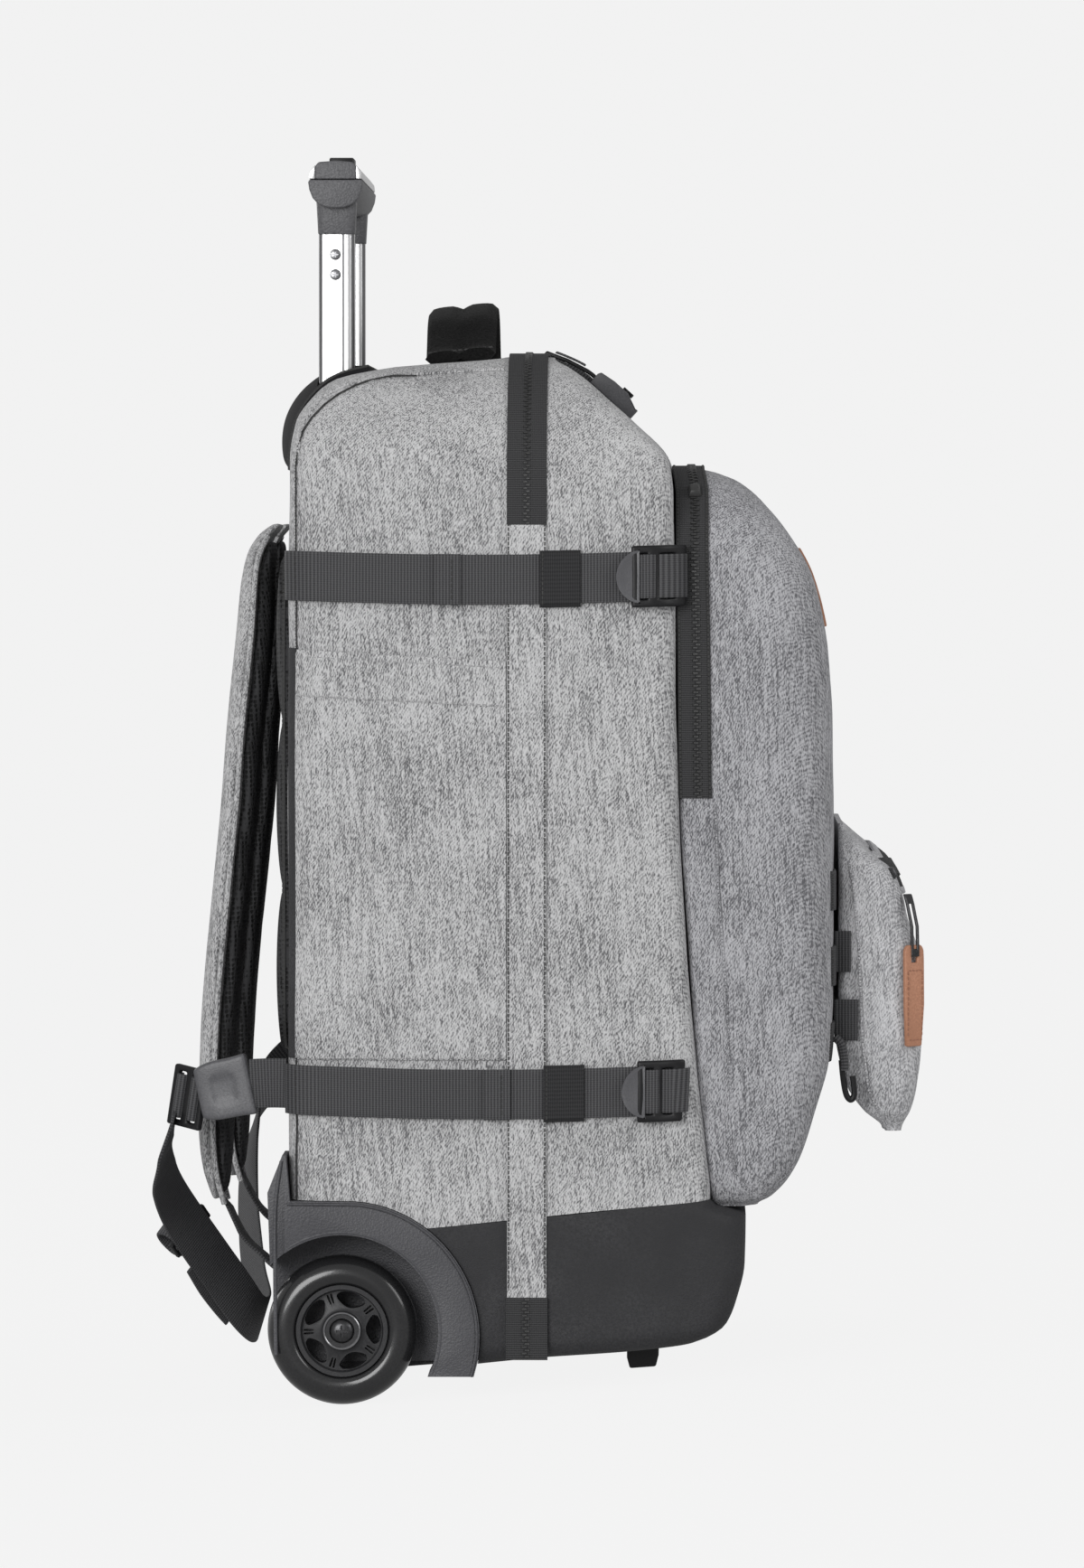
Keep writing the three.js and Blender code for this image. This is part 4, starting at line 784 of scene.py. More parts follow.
# Side pockets
# A flat slip pocket of the same twill is sewn on behind each gusset band. Its mouth has a deep turned
# hem with two rows of stitches, and a strip of black lining shows down its back edge.
for side, name in SIDES:
    surface = on_side(side)

    def mouth(d, z, lift, surface=surface):
        """The pocket droops towards the front by six millimetres over its width."""
        top = max(0, (z - 176) / 200)
        bow = 0.5 * sin(pi * min(1, max(0, (d - 4) / 106))) * top
        return surface(d, z - top * (4 - (110 - d) * 0.055), lift + bow)

    panel = flat_piece("side_pocket_cloth_" + name, (4.5, 176), (110.3, 379), 1.3, (40, 72), 0.5)
    lay(panel, mouth, 0.4)
    done(panel, "bag", grey_twill, "grey_cloth", "side_pocket_" + name)
    hem = flat_piece("side_pocket_hem_" + name, (5.5, 357), (110.0, 380.4), 0.7, (40, 10), 0.35)
    lay(hem, mouth, 1.5)
    done(hem, "bag", grey_twill, "grey_cloth")
    lining = flat_piece("side_pocket_lining_" + name, (1.2, 176), (5.2, 381), 1.0, (4, 72), 0.4)
    lay(lining, mouth, 0.6)
    done(lining, "bag", coated, "black_cloth")
    for place, word in (((7, 357.6), "hem"), ((7, 377), "mouth")):
        sew("side_pocket_" + word + "_stitches_" + name, mouth, route(place, (109, place[1])), 3.2, 1.95,
            (2.3, 0.6, 0.4), grey_thread, "grey_cloth")
    sew("side_pocket_foot_seam_" + name, surface, route((5, 176), (110, 176)), 2.6, 0.6, (2.4, 1.3, 0.5),
        grey_twill, "grey_cloth")
    back_edge = route((4.2, 150), (4.2, 476), (8, 496), (16, 509), (28, 515.5), (52, 520.5), (108, 523.5), step=3)
    sew("back_seam_" + name, surface, back_edge, 1.6, 0.0, (2.1, 1.5, 1.1, 0.5), grey_twill, "grey_cloth")


# Compression straps, keepers and ladder-lock buckles
# Flat black webbing sewn in at the back edge passes through a moulded ladder lock in front; an elastic
# keeper holds its loose layer, and the turned end is sewn down with a box of stitches.
webbing = woven("black_webbing", (0.022, 0.022, 0.024, 1), (0.095, 0.095, 0.099, 1), 620.0, 900.0, 0.62)
upright_webbing = woven("black_webbing_turned", (0.022, 0.022, 0.024, 1), (0.095, 0.095, 0.099, 1), 620.0, 900.0,
                        0.62, True)
elastic = woven("black_elastic", (0.014, 0.014, 0.015, 1), (0.045, 0.045, 0.047, 1), 1100.0, 500.0, 0.8)
buckle_plastic = grained("buckle_plastic", (0.006, 0.006, 0.007, 1), (0.012, 0.012, 0.013, 1), 1800.0, 0.42,
                         0.00008, 0.3, **{"Specular IOR Level": 0.3})
grey_plastic = grained("grey_moulding", (0.07, 0.07, 0.076, 1), (0.11, 0.11, 0.118, 1), 1300.0, 0.42, 0.00012, 0.4)


def lifted(surface, rise):
    return lambda a, b, up: surface(a, b, up + rise(a, b))


def rounded_frame(name, low, high, thickness, holes, edge):
    """A flat moulding drawn as a grid of bars, its holes deleted, then thickened and rounded; mm."""
    xs = sorted({low[0], high[0], *(h[0] for h in holes), *(h[2] for h in holes)})
    ys = sorted({low[1], high[1], *(h[1] for h in holes), *(h[3] for h in holes)})
    middle = ((low[0] + high[0]) / 2000, (low[1] + high[1]) / 2000, 0)
    piece = start(name, bpy.ops.mesh.primitive_plane_add, size=1, location=middle)
    bpy.ops.transform.resize(value=((high[0] - low[0]) / 1000, (high[1] - low[1]) / 1000, 1),
                             center_override=middle)
    for x in xs[1:-1]:
        bpy.ops.mesh.select_all(action="SELECT")
        bpy.ops.mesh.bisect(plane_co=(x / 1000, 0, 0), plane_no=(1, 0, 0))
    for y in ys[1:-1]:
        bpy.ops.mesh.select_all(action="SELECT")
        bpy.ops.mesh.bisect(plane_co=(0, y / 1000, 0), plane_no=(0, 1, 0))
    choose(piece, "faces", lambda middle, normal: any(
        h[0] < middle.x < h[2] and h[1] < middle.y < h[3] for h in holes))
    bpy.ops.mesh.delete(type="FACE")
    bpy.ops.mesh.select_all(action="SELECT")
    bpy.ops.mesh.subdivide(number_cuts=1)
    thicken(thickness)
    bpy.ops.object.mode_set(mode="OBJECT")
    soften(piece, edge / 1000, 3, 40)
    note_cut(piece)
    return piece


for side, name in SIDES:
    surface = on_side(side)
    for height, z, end, keeper in (("upper", 419.5, 74, 127), ("lower", 158.5, 99, 129)):
        where = height + "_" + name

        def line(d, a, lift, surface=surface, z=z, height=height):
            """The strap dips a little between its ends, and waves over what lies under it."""
            droop = -2.2 * sin(pi * d / 196) + (0 if height == "upper" else 2)
            return surface(d, z + a + droop, lift + 0.35 * sin(d / 9))

        strap = flat_piece("strap_webbing_" + where, (1.2, -12.5), (197, 12.5), 1.5, (110, 8), 0.4)
        lay(strap, line, 2.0)
        done(strap, "bag", webbing, "webbing", "strap_" + where)
        turned = flat_piece("strap_end_" + where, (end, -12.7), (end + 13.5, 12.7), 1.6, (8, 8), 0.5)
        lay(turned, line, 3.6)
        done(turned, "bag", webbing, "webbing")
        for word, d, lift in (("end", end + 9, 5.15), ("root", 6, 3.45)):
            sew("strap_" + word + "_stitches_" + where, line, route((d, -10.5), (d, 10.5), step=2), 3.0, lift,
                (2.2, 0.7, 0.35), black_thread)
        band = flat_piece("keeper_elastic_" + where, (keeper, -14.3), (keeper + 20.5, 14.3), 1.5, (12, 14), 0.6)
        lay(band, lifted(line, lambda d, a: -2.4 * max(0, (abs(a) - 12.6) / 1.7)), 3.8)
        done(band, "bag", elastic, "webbing", "keeper_" + where)
        sew("keeper_edge_" + where, line, route((keeper + 1.5, -13), (keeper + 1.5, 13), step=2), 2.4, 5.2,
            (2.2, 0.9, 0.4), black_thread)

        first = 166.5 if height == "upper" else 169.5
        holes = [(first + 10, -11.5, first + 14.5, 11.5), (first + 19, -11.5, first + 24, 11.5)]
        frame_piece = rounded_frame("buckle_frame_" + where, (first + 6.5, -15.5), (first + 28, 15.5), 3.6, holes,
                                    1.1)
        lay(frame_piece, line, 3.6)
        done(frame_piece, "bag", buckle_plastic, "black_plastic", "buckle_" + where)
        tab = start("buckle_tab_" + where, bpy.ops.mesh.primitive_circle_add, vertices=40, radius=0.0132,
                    fill_type="NGON", location=((first + 12) / 1000, 0, 0))
        bpy.ops.transform.resize(value=(1, 1.02, 1), center_override=((first + 12) / 1000, 0, 0))
        bpy.ops.mesh.select_all(action="SELECT")
        bpy.ops.mesh.bisect(plane_co=((first + 10.5) / 1000, 0, 0), plane_no=(1, 0, 0), clear_outer=True)
        bpy.ops.mesh.select_all(action="SELECT")
        thicken(3.6)
        choose(tab, "faces", lambda middle, normal: normal.z > 0.9)
        bpy.ops.mesh.inset(thickness=0.0022)
        bpy.ops.transform.translate(value=(0, 0, -0.0007))
        bpy.ops.object.mode_set(mode="OBJECT")
        soften(tab, 0.0004, 2, 40)
        lay(tab, line, 4.0)
        done(tab, "bag", grey_plastic, "grey_plastic")
        for a, b in ((first + 9.5, first + 19.5), (first + 18.5, first + 30)):
            wrap = flat_piece("buckle_wrap_%d_" % a + where, (a, -11), (b, 11), 1.4, (14, 8), 0.4)
            lay(wrap, lifted(line, lambda d, w, a=a, b=b: 2.2 * sin(pi * (d - a) / (b - a))), 4.6)
            done(wrap, "bag", webbing, "webbing")


# Front pocket
# A deep pocket of the bluer twill stands on the front, its gusset closed by a long zip that runs up
# one side, over the top and down the other. A seam joins the gusset to the front panel.
POCKET_TOP = 473.6
POCKET_HALF = 153
POCKET_ROUND = 58
POCKET_ROWS = [
    # height, front, narrowing at the side
    (100.2, 237.5, 10), (104, 244.1, 5), (113, 252.9, 1.5), (126.9, 260.1, 0), (149.5, 267, 0), (177, 273.8, 0),
    (209.8, 275.5, 0), (299.8, 275.5, 0), (345.3, 275, 0), (381, 273, 0), (393.6, 271, 0), (418, 264.5, 0),
    (435.5, 255.5, 0), (452, 243.6, 0), (467, 227, 0), (472, 214.6, 0), (473.6, 208, 0),
]


def pocket_back(z):
    return 213 if z < 106 else between(BODY_ROWS, z, 2) + 0.8


def pocket_half(z):
    return rounded(POCKET_HALF, POCKET_TOP, POCKET_ROUND, z) - between(POCKET_ROWS, z, 2)


rings = []
for i in range(90):
    z = 100.2 + (POCKET_TOP - 100.2) * (0.5 - 0.5 * cos(pi * i / 89))
    crown = 1.6 if z < 400 else 0.8
    rings.append(level_ring(z, pocket_half(z), pocket_back(z), between(POCKET_ROWS, z, 1), crown, 0, 4, 42,
                            steps=10, side_steps=16))
pocket = skin("front_pocket_cloth", rings)
normals = [vertex.normal.copy() for vertex in pocket.data.vertices]
PLEATS = [
    # depth, height, slant, length, width, how far it stands out, on the pocket's sides
    (236, 150, 62, 60, 8, -3.2), (226, 128, 40, 34, 6, 2.2), (232, 200, 84, 70, 7, -2.1),
    (250, 330, 80, 90, 10, -1.9), (238, 420, 60, 50, 8, -2.1), (256, 110, 20, 30, 7, -2.2),
    (214, 260, 88, 60, 6, 1.5), (262, 240, 86, 70, 8, 1.4),
]


def pleat(d, z):
    """How far the pocket's side cloth stands out at a depth and height, in millimetres."""
    total = 0.0
    for *fold, out in PLEATS:
        total += out * 2.718 ** -reach_of(d, z, *fold)
    return total


for vertex, normal in zip(pocket.data.vertices, normals):
    x, d, z = vertex.co.x * 1000, -vertex.co.y * 1000, vertex.co.z * 1000
    free = min(1, max(0, (d - pocket_back(z) - 16) / 12))
    lump = 1.3 * noise.noise(Vector((x / 55, d / 40, z / 75)))
    lump += 0.4 * noise.noise(Vector((x / 20, d / 16, z / 28)))
    vertex.co += normal * (lump + pleat(d, z) * abs(normal.x)) * free / 1000
done(pocket, "bag", blue_twill, "grey_cloth", "front_pocket")


def on_front(x, z, lift):
    """The surface of the front pocket: across, height and lift give a point."""
    half = pocket_half(z)
    d = between(POCKET_ROWS, z, 1)
    over = abs(x) - (half - 42)
    if over > 0:
        d -= 42 - sqrt(max(42 ** 2 - min(over, 42) ** 2, 0))
    rise = (between(POCKET_ROWS, z + 1, 1) - between(POCKET_ROWS, z - 1, 1)) / 2
    out = Vector((max(over, 0) / 42 * (1 if x > 0 else -1), -1, -rise)).normalized()
    return at(x, d, z) + out * lift / 1000


tape_path, tape_length = hoop(POCKET_HALF, POCKET_TOP, POCKET_ROUND, 307, 0, lambda side, d, z: 0)


def on_pocket_edge(s, across, lift):
    point = tape_path(s, 0, lift)
    z = min(point.z * 1000, POCKET_TOP)
    d = between(BODY_ROWS, min(z, 476), 2) + 9 + across
    share = (d - pocket_back(z)) / (between(POCKET_ROWS, z, 1) - pocket_back(z))
    side = 1 if point.x > 0 else -1
    return point + Vector((side * 1.6 * 4 * share * (1 - share), -d, 0)) / 1000


tape = flat_piece("front_zip_tape", (0, -8.3), (tape_length, 8.3), 1.2, (170, 8), 0.4)
lay(tape, on_pocket_edge, 0.4)
done(tape, "bag", zip_tape, "black_cloth", "front_zip")
sew("front_zip_teeth", on_pocket_edge, route((0, 1.5), (tape_length, 1.5)), 1.6, 1.5, (1.15, 3.4, 0.9),
    zip_teeth, "black_cloth", 0.7)
for edge, word in ((-7.2, "back"), (7.4, "front")):
    sew("front_zip_edge_" + word, on_pocket_edge, route((0, edge), (tape_length, edge)), 2.2, 1.4,
        (2.3, 1.3, 0.6), black_thread, "black_cloth")
for side, name in SIDES:
    def gusset_seam(d, z, lift, side=side):
        back, front = pocket_back(z), between(POCKET_ROWS, z, 1)
        share = (d - back) / (front - back)
        return at(side * (pocket_half(z) + 1.6 * 4 * share * (1 - share) + lift + pleat(d, z)), d, z)

    path = route((215.5, 304), (217, 260), (221.5, 205), (223.5, 150), (222, 136), (226, 118), (234, 109), step=3)
    sew("front_gusset_seam_" + name, gusset_seam, path, 1.8, 0.0, (2.2, 1.4, 1.0, 0.5), blue_twill, "grey_cloth")
    first = 156 if side < 0 else tape_length - 156
    seat = steps_along(on_pocket_edge, [(first, 1.5), (first + 8, 1.5)], 8, 2.0)
    slider = links("front_zip_slider_" + name, seat, block(9, 7, 3.2, 0.6))
    shape(slider, "BEVEL", width=0.0006, segments=2)
    done(slider, "bag", zip_teeth, "black_plastic")


# Label and webbing rows
# A bare tan leather patch is sewn near the top of the pocket. Below it three rows of webbing are
# barred down every few centimetres, so that a pouch can be laced to them.
leather = grained("tan_leather", (0.40, 0.185, 0.108, 1), (0.56, 0.27, 0.165, 1), 650.0, 0.5, 0.00025, 0.5)
tan_thread = grained("tan_thread", (0.28, 0.13, 0.08, 1), (0.4, 0.2, 0.13, 1), 3000.0, 0.7, 0.0001, 0.3)
patch = flat_piece("label_leather", (-31, 392), (31, 432), 2.0, (24, 16), 0.5)
lay(patch, on_front, 0.4)
done(patch, "bag", leather, "leather", "label")
corners = ((-28.5, 394.5), (28.5, 394.5), (28.5, 429.5), (-28.5, 429.5), (-28.5, 394.5))
sew("label_stitches", on_front, route(*corners, step=2), 3.2, 1.6, (2.2, 0.55, 0.35), tan_thread, "leather")
for count, z in enumerate((259, 220.5, 182), 1):
    strip = flat_piece("molle_row_%d" % count, (-125, z - 10), (125, z + 10), 1.3, (90, 6), 0.4)
    lay(strip, on_front, 0.5)
    done(strip, "bag", webbing, "webbing", "webbing_row_%d" % count)
    places = []
    for x in [-123.5 + 35.3 * i for i in range(8)]:
        places += steps_along(on_front, route((x, z - 9.3), (x, z + 9.3), step=1.5), 1.5, 1.75)
    done(links("molle_bars_%d" % count, places, block(1.1, 1.9, 0.5)), "bag", black_thread, "webbing")


# Pouch
# A small removable pouch is laced to the rows by two bands. Its slanting zip has a metal pull with a
# bare leather tab, and a hook hangs from a loop under it.
POUCH_ROWS = [
    # height, back, front, narrowing at the side
    (134, 302.5, 311.6, 14), (145, 291.7, 315.9, 5), (159.2, 282.6, 319, 1), (178.1, 279.6, 321.6, 0),
    (207.6, 278.7, 322, 0), (225.7, 278.7, 319.6, 0), (239.6, 278.7, 315.7, 0), (254.1, 278.7, 312, 0),
    (267.2, 278.7, 306.8, 1), (275.8, 278.7, 296.9, 4), (283.7, 278.7, 287.4, 10), (291.6, 278.7, 281.3, 22),
]
POUCH_HALF = 98
rings = []
for i in range(64):
    z = 134 + 157.6 * (0.5 - 0.5 * cos(pi * i / 63))
    back, front, narrow = (between(POUCH_ROWS, z, column) for column in (1, 2, 3))
    rings.append(level_ring(z, POUCH_HALF - narrow, back, front, 0.8, 0, 3, 24, steps=10, side_steps=14))
pouch = skin("pouch_cloth", rings)
normals = [vertex.normal.copy() for vertex in pouch.data.vertices]
for vertex, normal in zip(pouch.data.vertices, normals):
    x, d, z = vertex.co.x * 1000, -vertex.co.y * 1000, vertex.co.z * 1000
    free = min(1, max(0, (d - 281) / 8))
    lump = 1.4 * noise.noise(Vector((x / 26, d / 22, z / 30)))
    lump += 0.5 * noise.noise(Vector((x / 11, d / 10, z / 13)))
    fold = -1.5 * 2.718 ** -((z - 168 - 0.4 * (d - 300)) / 6) ** 2
    fold -= 2.718 ** -((z - 208 + 0.5 * (d - 300)) / 7) ** 2
    vertex.co += normal * (lump + fold * abs(normal.x)) * free / 1000
# A lighter copy of the front pocket's twill: painted light that makes up for the shade the pouch gets under the
# lamps.
brightened_pouch_twill = heather("pouch_twill_painted_light", (0.6, 0.6, 0.615, 1), (0.21, 0.21, 0.22, 1), 0.49)
done(pouch, "bag", brightened_pouch_twill, "grey_cloth", "pouch")


def on_pouch(x, z, lift):
    """The front surface of the pouch: across, height and lift give a point."""
    half = POUCH_HALF - between(POUCH_ROWS, z, 3)
    d = between(POUCH_ROWS, z, 2)
    over = min(max(abs(x) - (half - 24), 0), 24)
    d -= 24 - sqrt(24 ** 2 - over ** 2)
    rise = (between(POUCH_ROWS, z + 1, 2) - between(POUCH_ROWS, z - 1, 2)) / 2
    out = Vector((over / 24 * (1 if x > 0 else -1), -1, -rise)).normalized()
    return at(x, d, z) + out * lift / 1000


strip = flat_piece("pouch_zip_tape", (-86, 258), (86, 273), 1.2, (120, 8), 0.4)
lay(strip, on_pouch, 0.7)
done(strip, "bag", zip_tape, "black_cloth", "pouch_zip")
sew("pouch_zip_teeth", on_pouch, route((-85, 265.5), (85, 265.5), step=2), 1.6, 1.9, (1.0, 2.6, 0.9),
    zip_teeth, "black_cloth", 0.7)
for z, word in ((257.2, "lower"), (274.4, "upper")):
    lip = flat_piece("pouch_zip_lip_" + word, (-88, z - 1.8), (88, z + 1.8), 1.6, (120, 4), 0.7)
    lay(lip, on_pouch, 0.6)
    done(lip, "bag", brightened_pouch_twill, "grey_cloth")
for side, name in SIDES:
    def on_pouch_side(d, z, lift, side=side):
        back, front, narrow = (between(POUCH_ROWS, z, column) for column in (1, 2, 3))
        share = min(max((d - back) / (front - back), 0), 1)
        x = POUCH_HALF - narrow + 0.8 * 4 * share * (1 - share)
        if front - d < 24:
            x -= 24 - sqrt(max(24 ** 2 - (24 - max(front - d, 0)) ** 2, 0))
        return at(side * (x + lift), d, z)

    for z, height, front in ((227, "upper", 285), (192, "lower", 288.5)):
        lace = flat_piece("pouch_lace_" + height + "_" + name, (276.5, z - 10.5), (front, z + 10.5), 1.5, (12, 8),
                          0.5)
        lay(lace, on_pouch_side, 1.5)
        done(lace, "bag", webbing, "webbing", *(["pouch_band_" + height] if side < 0 else []))
    path = route((301, 141), (294, 156), (291, 180), (289, 230), (286, 262), (282, 283), step=3)
    sew("pouch_back_piping_" + name, on_pouch_side, path, 1.7, 0.4, (2.1, 1.5, 1.1, 0.5), brightened_pouch_twill, "grey_cloth")

steel = grained("brushed_steel", (0.28, 0.28, 0.29, 1), (0.42, 0.42, 0.43, 1), 2200.0, 0.3, 0.00005, 0.2,
                Metallic=1.0)
dark_steel = grained("blackened_steel", (0.05, 0.05, 0.052, 1), (0.10, 0.10, 0.104, 1), 2200.0, 0.34, 0.00005, 0.2,
                     Metallic=0.9)


def smooth_path(points, count):
    """A smooth curve through points, read at an even count of places."""
    full = []
    spots = [points[0]] + list(points) + [points[-1]]
    for i in range(count + 1):
        t = i / count * (len(points) - 1)
        k = min(int(t), len(points) - 2)
        u = t - k
        a, b, c, d = (Vector(spots[k + j]) for j in range(4))
        square, cube = 2 * a - 5 * b + 4 * c - d, 3 * b - a - 3 * c + d
        full.append(0.5 * (2 * b + (c - a) * u + square * u * u + cube * u ** 3))
    return full


def swept(name, points, wide, section, count):
    """A section of (across, up) pairs swept along a smooth path; wide is the way across."""
    path = [at(*point) for point in smooth_path(points, count)]
    places, cuts, walked = [], [], 0.0
    for i, point in enumerate(path):
        along = (path[min(i + 1, count)] - path[max(i - 1, 0)]).normalized()
        across = at(*wide).normalized()
        across = (across - along * across.dot(along)).normalized()
        up = along.cross(across)
        walked += (point - path[i - 1]).length if i else 0
        places += [point + across * a / 1000 + up * b / 1000 for a, b in section]
        cuts += [(walked, a / 1000) for a, _ in section]
    size = len(section)
    faces = round_faces(count + 1, size)
    faces += [list(range(size))[::-1], list(range(count * size, (count + 1) * size))]
    piece = new_piece(name, places, [], faces)
    layer = piece.data.uv_layers.new(name="cut")
    for loop in piece.data.loops:
        layer.data[loop.index].uv = cuts[loop.vertex_index]
    return piece


def ribbon(name, points, wide, width, thickness, count=60):
    """Flat webbing with round edges along a smooth path in bag coordinates; sizes in mm."""
    half = thickness / 2
    section = []
    for side in (1, -1):
        for j in range(5):
            angle = -pi / 2 + pi * j / 4
            section.append((side * (width / 2 - half + half * cos(angle)), side * half * sin(angle)))
    return face_out(swept(name, points, wide, section, count), weld=False)


CORNER_OUT = Vector((-0.707, -0.707, 0))  # straight out from the pouch's front left corner
CORNER_ACROSS = Vector((0.707, -0.707, 0))
pull = rounded_frame("pouch_zip_pull", (-2.8, 224), (2.8, 256), 1.5, [(-1.2, 228, 1.2, 251)], 0.5)
for vertex in pull.data.vertices:
    a, b, up = vertex.co * 1000
    near = max(0, (b - 236) / 20) ** 1.5 * 5.5
    vertex.co = at(-92.4, 317, b) + CORNER_ACROSS * a / 1000 + CORNER_OUT * (up + 0.5 - near) / 1000
face_out(pull)
done(pull, "bag", dark_steel, "steel", "pouch_puller")


def on_tab(a, b, lift):
    """The leather tab's face at the pouch's corner: across, height and lift give a point."""
    bow = 0.5 * cos((b - 204) / 26 * pi / 2)
    return at(-92.4, 317, b) + CORNER_ACROSS * a / 1000 + CORNER_OUT * (lift + bow) / 1000


tab = rounded_frame("pouch_leather_tab", (-7, 178), (7, 230), 2.2, [(-2.2, 221, 2.2, 227)], 0.7)
for vertex in tab.data.vertices:
    a, b, up = vertex.co * 1000
    over = max(0, abs(b - 204) - 21)
    a *= 1 - 0.34 * (over / 5) ** 3
    vertex.co = on_tab(a, b, up - 1.1)
face_out(tab)
done(tab, "bag", leather, "leather", "pouch_tab", angle=60)
for word, corners in (("top", ((-5.2, 217), (5.2, 217))), ("foot", ((-4.6, 181.4), (4.6, 181.4))),
                      ("near", ((-5.2, 217), (-5.2, 183))), ("far", ((5.2, 217), (5.2, 183)))):
    sew("pouch_tab_stitches_" + word, on_tab, route(*corners), 2.6, 1.1, (1.8, 0.5, 0.3), tan_thread, "leather")
seat = (on_pouch(-86, 265.5, 2.2), Vector((1, 0, 0)), Vector((0, 0.45, 0.9)), Vector((-0.3, -0.85, 0.4)))
slider = links("pouch_zip_slider", [seat], block(9, 7, 3, 0.6))
shape(slider, "BEVEL", width=0.0007, segments=2)
done(slider, "bag", dark_steel, "steel")
loop = ribbon("pouch_hook_loop", [(-112, 276.5, 184), (-112, 280, 180), (-112, 281.4, 172), (-112, 281.4, 167)],
              (1, 0, 0), 10, 4.2, 20)
done(loop, "bag", webbing, "webbing")
bend = [(280, 172), (281, 162), (282.5, 154.5), (284.8, 152), (286.6, 155), (285.8, 164)]
hook = ribbon("pouch_hook_body", [(-112, d, z) for d, z in bend], (1, 0, 0), 8, 3.0, 30)
done(hook, "bag", buckle_plastic, "black_plastic", "pouch_hook")


# Back panel
# A foam pad under black spacer mesh covers the back between the shoulder straps. It is quilted into
# two columns of low cushions by sewn channels.
MESH_HOLES, ends_in, ends_out = group("spacer_mesh", {"Vector": ("Vector", None), "Pitch": ("Float", 420.0)},
                                      {"Color": "Color", "Height": "Float"})
cells = node(MESH_HOLES, "TexVoronoi", {"Vector": ends_in["Vector"], "Scale": ends_in["Pitch"], "Randomness": 0.25})
open_cell = ranged(MESH_HOLES, cells.outputs["Distance"], 0.25, 0.5)
# The open holes are darker: partly the dark layer beneath, partly painted shade inside them.
tone = blend(MESH_HOLES, open_cell, (0.004, 0.004, 0.004, 1), (0.034, 0.034, 0.036, 1))
put_out(MESH_HOLES, ends_out, Color=tone, Height=open_cell)


def spacer_mesh(tree):
    made = placed(tree, MESH_HOLES, Vector=here(tree), Pitch=420.0)
    return {"Base Color": made["Color"], "Roughness": 0.85, "Height": made["Height"]}


black_mesh = finish_of("black_spacer_mesh", spacer_mesh, 0.0008, 1.0)
panel = flat_piece("back_panel_mesh", (-142, 176), (142, 430), 1, (96, 88))


def cushion(x, z, lift):
    """Two columns of three cushions, pressed flat along the channels and at the edges."""
    u = abs(sin(pi * x / 142)) ** 0.35
    v = abs(sin(pi * (z - 176) / 84.67)) ** 0.35
    return at(x, -0.3 - (lift > 0.5) * (2.6 + 6.4 * u * v), z)


for vertex in panel.data.vertices:  # the panel's corners are cut round
    x, z = vertex.co.x * 1000, vertex.co.y * 1000 - 303
    u, v = x / 142, z / 127
    corner = 1 - 0.09 * (u * v) ** 6
    vertex.co.x, vertex.co.y = x * corner / 1000, (303 + z * corner) / 1000
lay(panel, cushion)
done(panel, "bag", black_mesh, "mesh", "back_panel")
edge = [(x * corner, 303 + (z - 303) * corner) for x, z, corner in (
    (x, z, 1 - 0.09 * (x * (z - 303) / 142 / 127) ** 6) for x, z in route(
        (-141, 177), (141, 177), (141, 429), (-141, 429), (-141, 177), step=5))]
sew("back_panel_binding", lambda x, z, up: at(x, -2.4 - up, z), edge, 2.2, 0, (2.4, 4.0, 1.6, 0.7), black_thread,
    "black_cloth")


# Shoulder straps
# Each curved strap is foam between grey twill outside and black spacer mesh inside. The two covers
# are blown up a little as cloth over foam, and webbing runs from the foot back to the bag.
STRAP_ROWS = [
    # spread, behind the bag, height, width, thickness
    (46, 6.5, 445.5, 46.5, 6), (46.4, 14.5, 439, 52.7, 10.2), (53.6, 19.5, 424, 62, 14.5),
    (66.9, 21.5, 388, 62, 17), (78.3, 25.5, 343, 62, 17), (84, 28.5, 300, 62, 17), (84, 33.5, 250, 62, 17),
    (82.1, 38, 203, 62, 17), (80.2, 40, 165, 60.8, 17), (78.7, 41, 133, 55.8, 16.2),
    (77.9, 39.5, 112, 46.5, 13.6), (77.9, 36, 97, 34, 9.4),
]


def strap_cover(name, side, inner, outer, rows):
    """One cover of a strap, a closed pad between two shares of its thickness, 0 outside and 1 inside."""
    path = smooth_path([(x, -behind, z) for x, behind, z, _, _ in rows], 84)
    sizes = smooth_path([(width, thick, 0) for _, _, _, width, thick in rows], 84)
    rings = []
    for i, (point, size) in enumerate(zip(path, sizes)):
        along = (path[min(i + 1, 84)] - path[max(i - 1, 0)]).normalized()
        away = Vector((0, -along.z, along.y)).normalized()
        if away.y > 0:
            away = -away
        ring = []
        for j in range(36):
            angle = 2 * pi * j / 36
            c, s = cos(angle), sin(angle)
            w = size.x / 2 * abs(c) ** 0.55 * (1 if c > 0 else -1)
            t = abs(s) ** 0.6 * (1 if s > 0 else -1)
            share = (inner + outer) / 2 + (outer - inner) / 2 * t
            x, d, z = Vector((point.x + w, point.y, point.z)) + away * (0.5 - share) * size.y * 0.93
            ring.append(at(side * x, d, z))
        rings.append(ring)
    return skin(name, rings)


